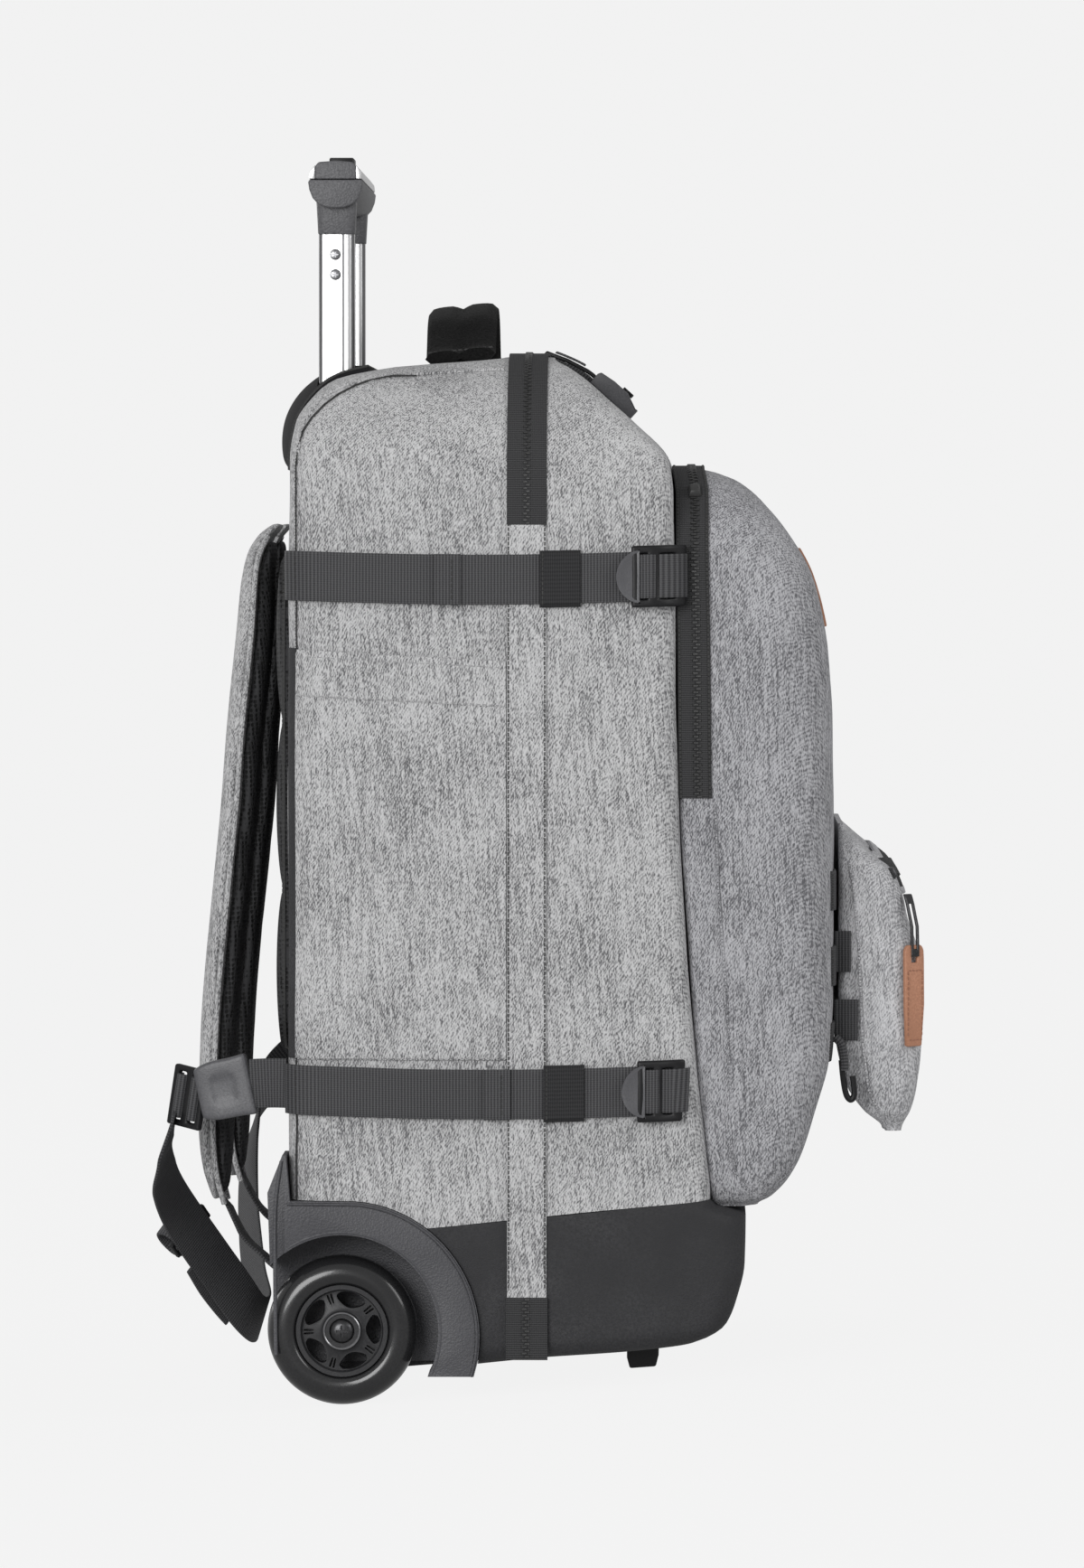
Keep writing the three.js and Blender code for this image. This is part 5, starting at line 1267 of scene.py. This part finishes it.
def blown(piece, cap):
    """Blows a closed cover up as cloth, each point moving no further than the cap in metres."""
    shape(piece, "REMESH", mode="VOXEL", voxel_size=0.0045)
    before = [vertex.co.copy() for vertex in piece.data.vertices]
    modifier = piece.modifiers.new("cover", "CLOTH")
    modifier.settings.use_pressure = True
    modifier.settings.uniform_pressure_force = 4.0
    modifier.settings.effector_weights.gravity = 0
    modifier.settings.quality = 4
    modifier.point_cache.frame_start, modifier.point_cache.frame_end = 1, 20
    for step in range(1, 21):
        bpy.context.scene.frame_set(step)
    only(piece)
    bpy.ops.object.modifier_apply(modifier="cover")
    bpy.context.scene.frame_set(1)
    for vertex, rest in zip(piece.data.vertices, before):
        moved = vertex.co - rest
        if moved.length > cap:
            vertex.co = rest + moved * (cap / moved.length)
    shape(piece, "SUBSURF", levels=1, render_levels=1)
    return piece


for side, name in SIDES:
    outer = blown(strap_cover("shoulder_strap_cover_" + name, side, 0.02, 0.56, STRAP_ROWS), 0.0016)
    done(outer, "bag", grey_twill, "grey_cloth", "shoulder_strap_" + name, angle=60)
    rows = [(x, behind, z, width - 5, thick) for x, behind, z, width, thick in STRAP_ROWS[1:]]
    inner = blown(strap_cover("shoulder_strap_lining_" + name, side, 0.56, 1.0, rows), 0.0014)
    done(inner, "bag", black_mesh, "mesh", angle=60)
    for edge in (-1, 1):
        path = [(side * (x + edge * (width / 2 - 1.2)), -behind - 0.02 * thick, z)
                for x, behind, z, width, thick in STRAP_ROWS[1:]]
        piping = ribbon("shoulder_strap_edge_%s_%d" % (name, (edge + 1) // 2), path, (1, 0, 0), 3.2, 3.0, 90)
        done(piping, "bag", grey_twill, "grey_cloth")
    web = [(side * x, d, z) for x, d, z in (
        (77.9, -35.6, 97), (85.9, -26, 80), (95.9, -13, 68), (101.9, -4.5, 58), (106.9, -1.4, 42))]
    foot = ribbon("shoulder_webbing_" + name, web, (1, 0, 0), 25, 1.6, 50)
    done(foot, "bag", webbing, "webbing", "strap_webbing_" + name)


# Waist belt
# A short belt of webbing leaves each back edge. On one side it ends in the grey shell of a buckle and
# a black frame, and the loose webbing drops, turns under and runs behind the bag to the other side.
def bag_place(point):
    """A point or direction in across, depth and height."""
    return Vector((point.x, -point.y, point.z))


anchor = ribbon("belt_anchor_webbing", [(-157, -1.2, 163), (-155, -9, 163), (-153.5, -19.5, 162.5)], (0, 0, 1),
                25, 1.6, 20)
done(anchor, "bag", webbing, "webbing", "belt_anchor")
shell = start("belt_buckle_shell", bpy.ops.mesh.primitive_cube_add, size=1)
bpy.ops.transform.resize(value=(0.0085, 0.028, 0.030))
bpy.ops.mesh.subdivide(number_cuts=3)
choose(shell, "verts", lambda place, normal: place.y > 12)
bpy.ops.transform.resize(value=(0.85, 1, 0.84), center_override=(0, 0.014, 0))
choose(shell, "verts", lambda place, normal: place.y < -12)
bpy.ops.transform.resize(value=(0.95, 1, 1.06), center_override=(0, -0.014, 0))
choose(shell, "faces", lambda middle, normal: normal.x < -0.9 and abs(middle.y) < 9 and abs(middle.z) < 9)
bpy.ops.mesh.inset(thickness=0.002)
bpy.ops.transform.translate(value=(0.0009, 0, 0))
bpy.ops.object.mode_set(mode="OBJECT")
soften(shell, 0.0038, 3, 30)
shape(shell, "SUBSURF", levels=1, render_levels=1)
run = at(-149, -45, 157) - at(-152.5, -19.6, 162.5)
turn = run.to_track_quat("Y", "Z").to_matrix().to_4x4()
shell.data.transform(Matrix.Translation(at(-150.8, -32.5, 159.8)) @ turn)
done(shell, "bag", grey_plastic, "grey_plastic", "belt_buckle")
holes = [(-6.5, -12.5, -2.2, 12.5), (2.2, -12.5, 6.5, 12.5)]
slot_frame = rounded_frame("belt_frame_bars", (-10, -15.5), (10, 15.5), 4, holes, 1.2)
middle = at(-143.5, -51.5, 155)
away = Vector((-0.85, 0.5, 0)).normalized()
length = Vector((-away.y, away.x, -0.18)).normalized()
height = away.cross(length).normalized()
for vertex in slot_frame.data.vertices:
    a, b, c = vertex.co
    vertex.co = middle + length * a + height * b + away * (c - 0.002)
face_out(slot_frame)
done(slot_frame, "bag", buckle_plastic, "black_plastic", "belt_frame")
RUN = [(-137.6, -57.6, 150), (-128, -64, 128), (-112, -66, 112), (-84, -60, 92), (-50, -42, 60), (-20, -26, 33),
       (20, -22, 29), (60, -28, 42), (100, -34, 73), (132, -35, 108), (150, -28, 136), (157, -14, 154),
       (157, -1.8, 158)]
drop = ribbon("belt_webbing_run", RUN, (0, 0.3, 1), 25, 1.6, 160)
done(drop, "bag", webbing, "webbing", "belt_webbing")
for index, shift in enumerate((-4.4, 4.4)):
    core = middle + length * shift / 1000
    turns = [2 * pi * k / 16 for k in range(-6, 7)]
    loop = [core + away * cos(turn) * 0.0032 + length * sin(turn) * 0.0026 for turn in turns]
    wrap = ribbon("belt_frame_wrap_%d" % index, [bag_place(p) * 1000 for p in loop], bag_place(height), 22.5, 1.6,
                  24)
    done(wrap, "bag", webbing, "webbing")
# The belt's loose end is folded on itself and held by a slider, and its tip lies along the run.
along = (at(-50, -42, 60) - at(-84, -60, 92)).normalized()
across = (at(0, 0.3, 1) - along * at(0, 0.3, 1).dot(along)).normalized()
out = across.cross(along) if across.cross(along).y > 0 else along.cross(across)
place = at(-72, -53.6, 80.5)
slide = rounded_frame("belt_slider", (-5, -14.5), (5, 14.5), 2.6, [(-2.2, -12.6, 2.2, 12.6)], 0.8)
for vertex in slide.data.vertices:
    a, b, c = vertex.co
    vertex.co = place + along * a + across * b + out * (c + 0.0009)
face_out(slide)
done(slide, "bag", buckle_plastic, "black_plastic")
fold = [place + along * a / 1000 + out * c / 1000 for a, c in (
    (-1, 2.6), (-6, 8), (-4, 15), (4, 17), (12, 13), (10, 6), (4, 5))]
tail = ribbon("belt_folded_tail", [bag_place(p) * 1000 for p in fold], bag_place(across), 21, 1.7, 50)
done(tail, "bag", webbing, "webbing")
tip = ribbon("belt_tip", [(-62, -51.5, 66), (-50, -46, 54.5), (-38, -39.5, 44), (-29, -34, 36.5)], (0, 0.3, 1), 20,
             1.6, 30)
done(tip, "bag", webbing, "webbing")


# Carry handle
# A short padded handle of folded black webbing bridges the top of the bag, sewn down at both ends,
# with a valley along its middle where the two halves of the fold meet.
HANDLE_SEAT = 531.6
rise = [(-78, 0), (-62, 0), (-54, 2), (-46, 9), (-36, 18), (-19, 23.6), (0, 24.6), (19, 23.6), (36, 18), (46, 9),
        (54, 2), (62, 0), (78, 0)]
brushed_black = grained("brushed_black_cloth", (0.004, 0.004, 0.004, 1), (0.016, 0.016, 0.016, 1), 1400.0, 0.95,
                        0.0004, 0.8, **{"Specular IOR Level": 0.1, "Sheen Weight": 0.05})
section = []
for face in (1, -1):
    for j in range(15):
        share = face * (1 - 2 * j / 14)
        crown = (1 - abs(share) ** 6) ** 0.5 - 0.6 * 2.718 ** -(share / 0.16) ** 2
        section.append((18 * share, 3.4 * face * crown))
band_path = [(x, 84.5, HANDLE_SEAT + up) for x, up in rise]
grip_band = face_out(swept("carry_handle_padding", band_path, (0, 37, 3.7), section, 80))
done(grip_band, "bag", brushed_black, "webbing", "carry_handle", angle=70)
for side, name in SIDES:
    places = []
    for x in (side * 64, side * 75):
        for k in range(11):
            d = 69 + 31 * k / 10
            places.append((at(x, d, HANDLE_SEAT + 3.0 + (d - 84.5) * 0.1), Vector((0, -1, 0.1)),
                           Vector((1, 0, 0)), Vector((0, 0, 1))))
    done(links("carry_handle_stitches_" + name, places, block(2.3, 0.7, 0.5)), "bag", black_thread, "webbing")


# Zip lock
# A small moulded lock is screwed to the slope above the front pocket. The long zip's two pulls end in
# a flat tongue with an eye, which is pushed into it.
SLOPE_D, SLOPE_Z, SLOPE_TURN = 160.5, 509.4, radians(-42.2)


def on_slope(piece):
    """Moves a piece, drawn with Y up the slope and Z out of it, to its seat."""
    along = Vector((0, -cos(SLOPE_TURN), sin(SLOPE_TURN)))
    out = Vector((0, sin(SLOPE_TURN), cos(SLOPE_TURN)))
    for vertex in piece.data.vertices:
        a, b, c = vertex.co
        vertex.co = at(0, SLOPE_D, SLOPE_Z) + Vector((a, 0, 0)) + along * b + out * c
    return face_out(piece)


def hung(piece, lift):
    """Seats a flat piece on the slope at a lift in metres, its lower end sinking to the zip."""
    for vertex in piece.data.vertices:
        fall = max(0, min(1, (-vertex.co.y * 1000 - 16) / 26)) ** 1.5
        vertex.co.z += lift - 0.0078 * fall
    return on_slope(piece)


lock = start("lock_case", bpy.ops.mesh.primitive_cube_add, size=1, location=(0, 0, 0.005))
bpy.ops.transform.resize(value=(0.034, 0.028, 0.009), center_override=(0, 0, 0.005))
bpy.ops.mesh.subdivide(number_cuts=2)
choose(lock, "verts", lambda place, normal: place.z > 9 and place.y > 13)
bpy.ops.transform.translate(value=(0, -0.001, -0.0035))
choose(lock, "verts", lambda place, normal: place.z > 9 and place.y < -13)
bpy.ops.transform.translate(value=(0, 0.001, -0.0012))
choose(lock, "faces", lambda middle, normal: normal.y < -0.8 and abs(middle.x) < 7)
bpy.ops.mesh.inset(thickness=0.0008)
bpy.ops.transform.translate(value=(0, 0.003, 0))
bpy.ops.object.mode_set(mode="OBJECT")
soften(lock, 0.0022, 3, 28)
done(on_slope(lock), "bag", grey_plastic, "grey_plastic", "lock_body")
for x, name in ((-9, "left"), (9, "right")):
    dial = start("lock_button_" + name, bpy.ops.mesh.primitive_cylinder_add, vertices=24, radius=0.0032,
                 depth=0.002, location=(x / 1000, 0.004, 0.0098))
    choose(dial, "faces", lambda middle, normal: normal.z > 0.9)
    bpy.ops.mesh.inset(thickness=0.0006)
    bpy.ops.transform.translate(value=(0, 0, -0.0004))
    bpy.ops.object.mode_set(mode="OBJECT")
    done(on_slope(dial), "bag", buckle_plastic, "black_plastic")
tongue = rounded_frame("lock_tongue_plate", (-5.5, -42), (5.5, -6), 2.2, [(-2.2, -19, 2.2, -13)], 0.6)
done(hung(tongue, 0.0032), "bag", buckle_plastic, "black_plastic", "lock_tongue")
puller = flat_piece("main_zip_puller_tape", (-6.5, -38), (6.5, -22), 1.2, (6, 10), 0.4)
done(hung(puller, 0.0058), "bag", upright_webbing, "webbing")
flap = flat_piece("main_zip_pull_flap", (-7, -40), (7, -12), 2.8, (6, 12), 0.8)
done(hung(flap, 0.0002), "bag", upright_webbing, "webbing")


# Handle cover
# Where the trolley comes out, the back and top corner is capped by a padded arch of black cloth,
# bound round its edge.
ARCH = smooth_path([(0, 0, 474), (0, 0.1, 482), (0, 3, 497), (0, 11.1, 509.8), (0, 24, 519.6), (0, 46, 525)], 60)


def on_arch(x, s, lift):
    """The back and top corner: across, distance from the foot of the cover and lift give a point."""
    t = min(max(s / 78, 0), 1) * 60
    i = min(int(t), 59)
    place = ARCH[i].lerp(ARCH[i + 1], t - i)
    step = (ARCH[min(i + 2, 60)] - ARCH[max(i - 1, 0)]).normalized()
    return at(x, place.y - step.z * lift, place.z + step.y * lift)


padding_cloth = grained("padding_cloth", (0.005, 0.005, 0.006, 1), (0.013, 0.012, 0.013, 1), 1500.0, 0.75,
                        **{"Specular IOR Level": 0.2})
cover = flat_piece("handle_cover_padding", (-84, 0), (84, 72), 2.4, (60, 40), 1.2)
for vertex in cover.data.vertices:
    a, b, up = vertex.co * 1000
    crown = (1 - (a / 84) ** 4) * sin(pi * min(max(b / 72, 0), 1)) ** 0.6
    vertex.co.z += (up > 1) * 0.0082 * crown
lay(cover, on_arch, 0.4)
cut_for_tubes(cover, 430, 600)
done(cover, "bag", padding_cloth, "black_cloth", "handle_cover", angle=60)
sew("handle_cover_binding", on_arch, route((-82, 1), (-82, 71), (82, 71), (82, 1), (-82, 1)), 1.8, 2.4,
    (2.3, 3.2, 1.4, 0.6), black_thread, "black_cloth")


# Trolley tubes
# Two drawn aluminium tubes slide in the guides behind the back panel. Their side faces are grooved
# lengthways, and two round-headed screws hold each into the grip.
TUBE_D = 21  # the tubes' middle, forward of the back face


def drawn_metal(name, bright, deep, roughness):
    """Metal with fine lines along its length, which soften its shine."""
    def build(tree):
        lines = cloud(tree, stretched(tree, here(tree), (2600, 2600, 12)), 1.0, 2.0)
        rough = ranged(tree, lines, 0, 1, roughness - 0.07, roughness + 0.09)
        return {"Base Color": blend(tree, lines, deep, bright), "Roughness": rough, "Height": lines}

    return finish_of(name, build, 0.00003, 0.3, Metallic=1.0)


aluminium = drawn_metal("drawn_aluminium", (0.80, 0.80, 0.80, 1), (0.68, 0.68, 0.69, 1), 0.34)
# A darker copy of the tube metal: painted shade for the tubes' rounded edges and one groove.
tube_edge_shade_metal = drawn_metal("tube_edge_painted_shade", (0.22, 0.22, 0.225, 1), (0.15, 0.15, 0.155, 1), 0.4)


def standing_bar(name, profile, low, high):
    """A level outline of (across, depth) pairs drawn up between two heights."""
    piece = new_piece(name, [at(x, d, low) for x, d in profile], [], [list(range(len(profile)))])
    return drawn_out(piece, (0, 0, (high - low) / 1000))


def tube_profile(x):
    """A rounded rectangle 14 by 18.2 with three grooves along each side face."""
    corner, half_w, half_d = 3.2, 7, 9.1
    side_face = [(-5.4, 0), (-5.1, 0.7), (-4.5, 0.7), (-4.2, 0), (3.0, 0), (3.3, 0.7), (3.9, 0.7), (4.2, 0),
                 (5.0, 0), (5.3, 0.6), (5.7, 0.6), (5.9, 0)]

    def arc(way_x, way_d, first):
        angles = [radians(first + 15 * i) for i in range(7)]
        return [(way_x * (half_w - corner) + corner * cos(angle), way_d * (half_d - corner) + corner * sin(angle))
                for angle in angles]

    points = [(half_w - deep, d) for d, deep in side_face] + arc(1, 1, 0) + arc(-1, 1, 90)
    points += [(-half_w + deep, d) for d, deep in side_face[::-1]] + arc(-1, -1, 180) + arc(1, -1, 270)
    return [(x + a, TUBE_D + d) for a, d in points]


def turned_piece(name, profile, centre, side, steps=48):
    """A profile of (outwards, radius) pairs spun about a cross axis through a centre; mm."""
    x0, d0, z0 = centre
    edges = [(i, i + 1) for i in range(len(profile) - 1)]
    piece = new_piece(name, [at(x0 + side * a, d0 + r, z0) for a, r in profile], edges, [])
    only(piece)
    bpy.ops.object.mode_set(mode="EDIT")
    bpy.ops.mesh.select_all(action="SELECT")
    bpy.ops.mesh.spin(steps=steps, angle=2 * pi, center=at(x0, d0, z0), axis=(1, 0, 0))
    bpy.ops.object.mode_set(mode="OBJECT")
    return face_out(piece)


def cross_recess(piece, centre, side, reach, deep, wide):
    """Cuts the crossed driver slot into a screw head."""
    x, d, z = centre
    for turn in (0, 1):
        long, short = (reach, wide) if turn else (wide, reach)
        slot = [(d - long, z - short), (d + long, z - short), (d + long, z + short), (d - long, z + short)]
        cut(piece, prism("driver_slot", slot, x - side * deep, x + side * 4))


for x, side, name in ((-70, -1, "left"), (70, 1, "right")):
    tube = standing_bar("tube_metal_" + name, tube_profile(x), 120, 606)
    done(tube, "handle", aluminium, "aluminium", "tube_" + name)
    tube.data.materials.append(tube_edge_shade_metal)
    # Faces on the rounded front and back edges and in one groove take the darker metal, as painted shade.
    for face in tube.data.polygons:
        depth = (LEAN.inverted() @ face.center).y * -1000 - TUBE_D
        if 7.2 < abs(depth) < 9.05 or abs(depth - 3.6) < 0.35:
            face.material_index = 1
    for z in (583.6, 573.3):
        centre = (x + side * 7, 20.5, z)
        head = [(-0.6, 2.8), (0.3, 2.8), (0.9, 2.3), (1.2, 1.2), (1.25, 0.001)]
        screw = turned_piece("tube_screw_%s_%d" % (name, z), head, centre, side, 28)
        cross_recess(screw, (centre[0] + side * 1.3, 20.5, z), side, 1.5, 0.8, 0.35)
        done(screw, "handle", steel, "steel")


# Grip and button
# The tubes end in tapered collars of dark grained plastic under a cross grip with a round belly and a
# flat top. Bright strips run along its upper edges, and the release button stands in its middle.
belly = [(0.97, 0.62), (1.0, 0.56), (0.96, 0.4), (0.84, 0.22), (0.62, 0.08), (0.32, 0.015), (0, 0),
         (-0.32, 0.015), (-0.62, 0.08), (-0.84, 0.22), (-0.96, 0.4), (-1.0, 0.56), (-0.97, 0.62)]
GRIP_Z, GRIP_HIGH = 607, 23.5
grip = prism("grip_belly", [(TUBE_D + 14 * a, GRIP_Z + GRIP_HIGH * b) for a, b in belly], -88, 88)
grip_finish = grained("grip_moulding", (0.075, 0.075, 0.08, 1), (0.14, 0.14, 0.148, 1), 900.0, 0.5, 0.0003, 0.7)
for side in (-1, 1):
    ring = outline(9.2, TUBE_D - 9.4, TUBE_D + 9.4, 4, 4, steps=5, side_steps=2, face_steps=2)
    collar = standing_bar("collar", ring, 594, 612)
    only(collar)
    bpy.ops.object.mode_set(mode="EDIT")
    choose(collar, "verts", lambda place, normal: place.z > 611)
    bpy.ops.transform.resize(value=(1.15, 1.1, 1), center_override=at(0, TUBE_D, 612))
    bpy.ops.object.mode_set(mode="OBJECT")
    soften(collar, 0.0006, 2, 50)
    collar.data.transform(Matrix.Translation((side * 0.070, 0, 0)))
    collar.name = "collar_" + ("left" if side < 0 else "right")
    done(collar, "handle", grip_finish, "grey_plastic")
soften(grip, 0.0009, 3, 50)
done(grip, "handle", grip_finish, "grey_plastic", "handle_grip")
top = [(10.4, 621.9), (10.4, 628.6), (8.6, 630.6), (0, 631.2), (-8.6, 630.6), (-10.4, 628.6), (-10.4, 621.9)]
cap = prism("grip_cap", [(TUBE_D + d, z) for d, z in top], -88, 88)
soften(cap, 0.0007, 3, 28)
room = [(TUBE_D - 6.8, 615), (TUBE_D + 6.8, 615), (TUBE_D + 6.8, 640), (TUBE_D - 6.8, 640)]
cut(cap, prism("button_room", room, -13.4, 13.4))
done(cap, "handle", grip_finish, "grey_plastic")
for side, name in ((-1, "back"), (1, "front")):
    edge = [(10.5, 621.9), (13.6, 621.9), (13.2, 625.6), (10.5, 629)]
    strip = prism("grip_strip_" + name, [(TUBE_D + side * d, z) for d, z in edge], -87.6, 87.6)
    soften(strip, 0.0004, 2, 30)
    done(strip, "handle", aluminium, "aluminium")
button = start("release_button", bpy.ops.mesh.primitive_cube_add, size=1, location=at(0, TUBE_D, 628.2))
bpy.ops.transform.resize(value=(0.026, 0.0128, 0.0164), center_override=at(0, TUBE_D, 628.2))
choose(button, "faces", lambda middle, normal: normal.z > 0.9)
bpy.ops.mesh.inset(thickness=0.0022)
bpy.ops.transform.translate(value=(0, 0, -0.0006))
bpy.ops.object.mode_set(mode="OBJECT")
soften(button, 0.0012, 3, 30)
done(button, "button", buckle_plastic, "black_plastic", "grip_button")


# Wheels
# Inline-skate wheels: a glossy black cast tyre on a moulded hub with five windows and slotted double
# spokes, a bearing with a bright ring, and a cross-headed axle screw.
gloss = grained("cast_tyre", (0.014, 0.014, 0.015, 1), (0.026, 0.026, 0.027, 1), 60.0, 0.24, 0.0002, 0.05,
                **{"Specular IOR Level": 0.35, "Coat Weight": 0.35, "Coat Roughness": 0.08})
hub_plastic = grained("hub_moulding", (0.02, 0.02, 0.022, 1), (0.038, 0.038, 0.04, 1), 1500.0, 0.42, 0.0001, 0.3,
                      **{"Specular IOR Level": 0.35})
TYRE = [(-9, 23.75), (-10.8, 24.2), (-11.7, 26), (-12, 28.6), (-11.5, 31.6), (-10.1, 34.2), (-7.7, 36.3),
        (-4.3, 37.6), (0, 38), (4.3, 37.6), (7.7, 36.3), (10.1, 34.2), (11.5, 31.6), (12, 28.6), (11.7, 26),
        (10.8, 24.2), (9, 23.75), (-9, 23.75)]
HUB = [(-9, 23.6), (-9.6, 23.2), (-9.6, 20.9), (-8.6, 20.4), (-3.5, 20.3), (-3.5, 10), (-9.8, 9.6), (-9.8, 6.4),
       (9.8, 6.4), (9.8, 9.6), (7.2, 10), (6.4, 11.2), (6.4, 20.2), (8.8, 20.5), (9.6, 21), (9.6, 23.2),
       (9, 23.6), (-9, 23.6)]
RING = [(9.5, 9.4), (10.6, 9.4), (10.9, 9.0), (10.6, 8.6), (9.5, 8.6), (9.5, 9.4)]
SHIELD = [(8.8, 8.7), (9.9, 8.6), (9.4, 7.0), (9.2, 6.2), (8.2, 6.2), (8.8, 8.7)]
SCREW = [(-14, 0.001), (-14, 4), (9.0, 4), (9.0, 6.0), (10.2, 6.0), (11.4, 5.2), (12.2, 3.4), (12.5, 0.001)]
WINDOW = [(19.5, -19), (19.9, -9), (20, 0), (19.9, 9), (19.5, 19), (17.6, 25), (14.6, 20), (12.4, 9), (12, 0),
          (12.4, -9), (14.6, -20), (17.6, -25)]
SLOT = [(19.4, 0), (19, 1.5), (15, 1.7), (14.4, 0), (15, -1.7), (19, -1.5)]


def ring_of(points, turn, count):
    """A closed smooth outline through polar points, turned about the axle, as [depth, height] pairs."""
    places = [(AXLE_D + r * cos(radians(turn + a)), AXLE_Z + r * sin(radians(turn + a)), 0) for r, a in points]
    loop_points = places + places[:1]
    return [(p.x, p.y) for p in smooth_path(loop_points, count)[:-1]]


for side, name in SIDES:
    body_name = "wheel_" + name
    centre = (side * 152, AXLE_D, AXLE_Z)
    tyre = turned_piece("wheel_tyre_" + name, TYRE, centre, side, 96)
    done(tyre, body_name, gloss, "tyre", "tyre_" + name, angle=80)
    hub = turned_piece("wheel_hub_" + name, HUB, centre, side, 72)
    for k in range(5):
        a = 2 + 72 * k
        cut(hub, prism("window", ring_of(WINDOW, a, 28), side * 120, side * 180))
        for turn in (33.2, 38.8):
            cut(hub, prism("slot", ring_of(SLOT, a + turn, 18), side * 154, side * 180))
    done(hub, body_name, hub_plastic, "black_plastic", "hub_" + name, angle=40)
    bearing = turned_piece("bearing_ring_" + name, RING, centre, side, 64)
    done(bearing, body_name, steel, "steel")
    shield = turned_piece("bearing_shield_" + name, SHIELD, centre, side, 64)
    done(shield, body_name, hub_plastic, "black_plastic")
    screw = turned_piece("axle_screw_" + name, SCREW, centre, side)
    cross_recess(screw, (centre[0] + side * 12.6, AXLE_D, AXLE_Z), side, 2.9, 1.8, 0.6)
    done(screw, "bag", dark_steel, "steel", "axle_" + name)


# Wheel housings
# Each wheel runs in an arch of dark grained plastic that wraps the bag's corner, with a fin up the
# back edge and a leg in front. A raised lip runs round its outer edge.
arch_plastic = grained("housing_moulding", (0.050, 0.050, 0.056, 1), (0.08, 0.08, 0.087, 1), 1000.0, 0.48,
                       0.00022, 0.6)


def circle_line(radius, first=0, last=360, count=72):
    """Part of a circle about the axle, as [depth, height] pairs."""
    angles = [radians(first + (last - first) * i / count) for i in range(count + (last - first != 360))]
    return [(AXLE_D + radius * cos(angle), AXLE_Z + radius * sin(angle)) for angle in angles]


for side, name in SIDES:
    arch = prism("wheel_arch_" + name, housing_outline(0), side * 132, side * 168)
    for room, points, near, away in (
            ("well", circle_line(49), 134.5, 172),
            ("leg_edge", [(50, 8), (66.3, 8), (71, 16.4), (72.9, 20.4), (50, 20.4)], 131, 172),
            ("under", [(-60, -60), (64, -60), (64, 20.5), (-60, 20.5)], 134.5, 172),
            ("fin_slope", [(-1.6, 0), (-1.6, 200), (-30, 200), (-30, 0)], 163.5, 172),
            ("hidden_room", circle_line(66, -30, 80, 30) + circle_line(53.5, 80, -30, 30), 134.5, 160)):
        cut(arch, prism(room, points, side * near, side * away))
    soften(arch, 0.0013, 3, 35)
    done(arch, "bag", arch_plastic, "grey_plastic", "wheel_housing_" + name, angle=40)
    lip = [(side * 168.0, d, z) for d, z in housing_outline(-1.4)[1:27]]
    rim = ribbon("arch_lip_" + name, lip, (1, 0, 0), 1.0, 1.6, 90)
    done(rim, "bag", arch_plastic, "grey_plastic")
    well = [(side * 167.6, d, z) for d, z in circle_line(50.2, -25, 122, 40)]
    inner_rim = ribbon("well_lip_" + name, well, (1, 0, 0), 1.4, 1.8, 90)
    done(inner_rim, "bag", arch_plastic, "grey_plastic")
    line = [(side * x, d, z) for x, d, z in (
        (163.6, -6.2, 26), (163.8, -6.6, 60), (163.6, -6.4, 100), (163.4, -3.4, 124))]
    rib = ribbon("fin_rib_" + name, line, (0, 1, 0), 2.0, 1.8, 40)
    done(rib, "bag", arch_plastic, "grey_plastic")


# Feet
# Two short black rubber feet under the front edge level the bag with its wheels.
for x, name in ((-65, "left"), (65, "right")):
    foot = start("foot_rubber_" + name, bpy.ops.mesh.primitive_cube_add, size=1, location=at(x, 178.5, 20))
    bpy.ops.transform.resize(value=(0.024, 0.0164, 0.018), center_override=at(x, 178.5, 20))
    bpy.ops.mesh.subdivide(number_cuts=2)
    choose(foot, "verts", lambda place, normal: place.z < 12)
    bpy.ops.transform.resize(value=(0.87, 0.82, 1), center_override=at(x, 178.5, 11))
    bpy.ops.object.mode_set(mode="OBJECT")
    soften(foot, 0.0009, 2, 40)
    for vertex in foot.data.vertices:
        d = -vertex.co.y * 1000
        share = (vertex.co.z * 1000 - 11) / 18
        low = AXLE_Z - AXLE_Z / cos(TILT) + (d - AXLE_D) * 0.073435  # the floor under the leaned bag
        high = 11 + SLOPE * d - 0.3
        vertex.co.z = (low + 0.2 + share * (high - low)) / 1000
    done(foot, "bag", buckle_plastic, "black_plastic", "foot_" + name)

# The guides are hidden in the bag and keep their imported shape, in the trolley's own metal.
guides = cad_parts["trolley_guides"]
guides.data.materials.clear()
guides.data.materials.append(aluminium)
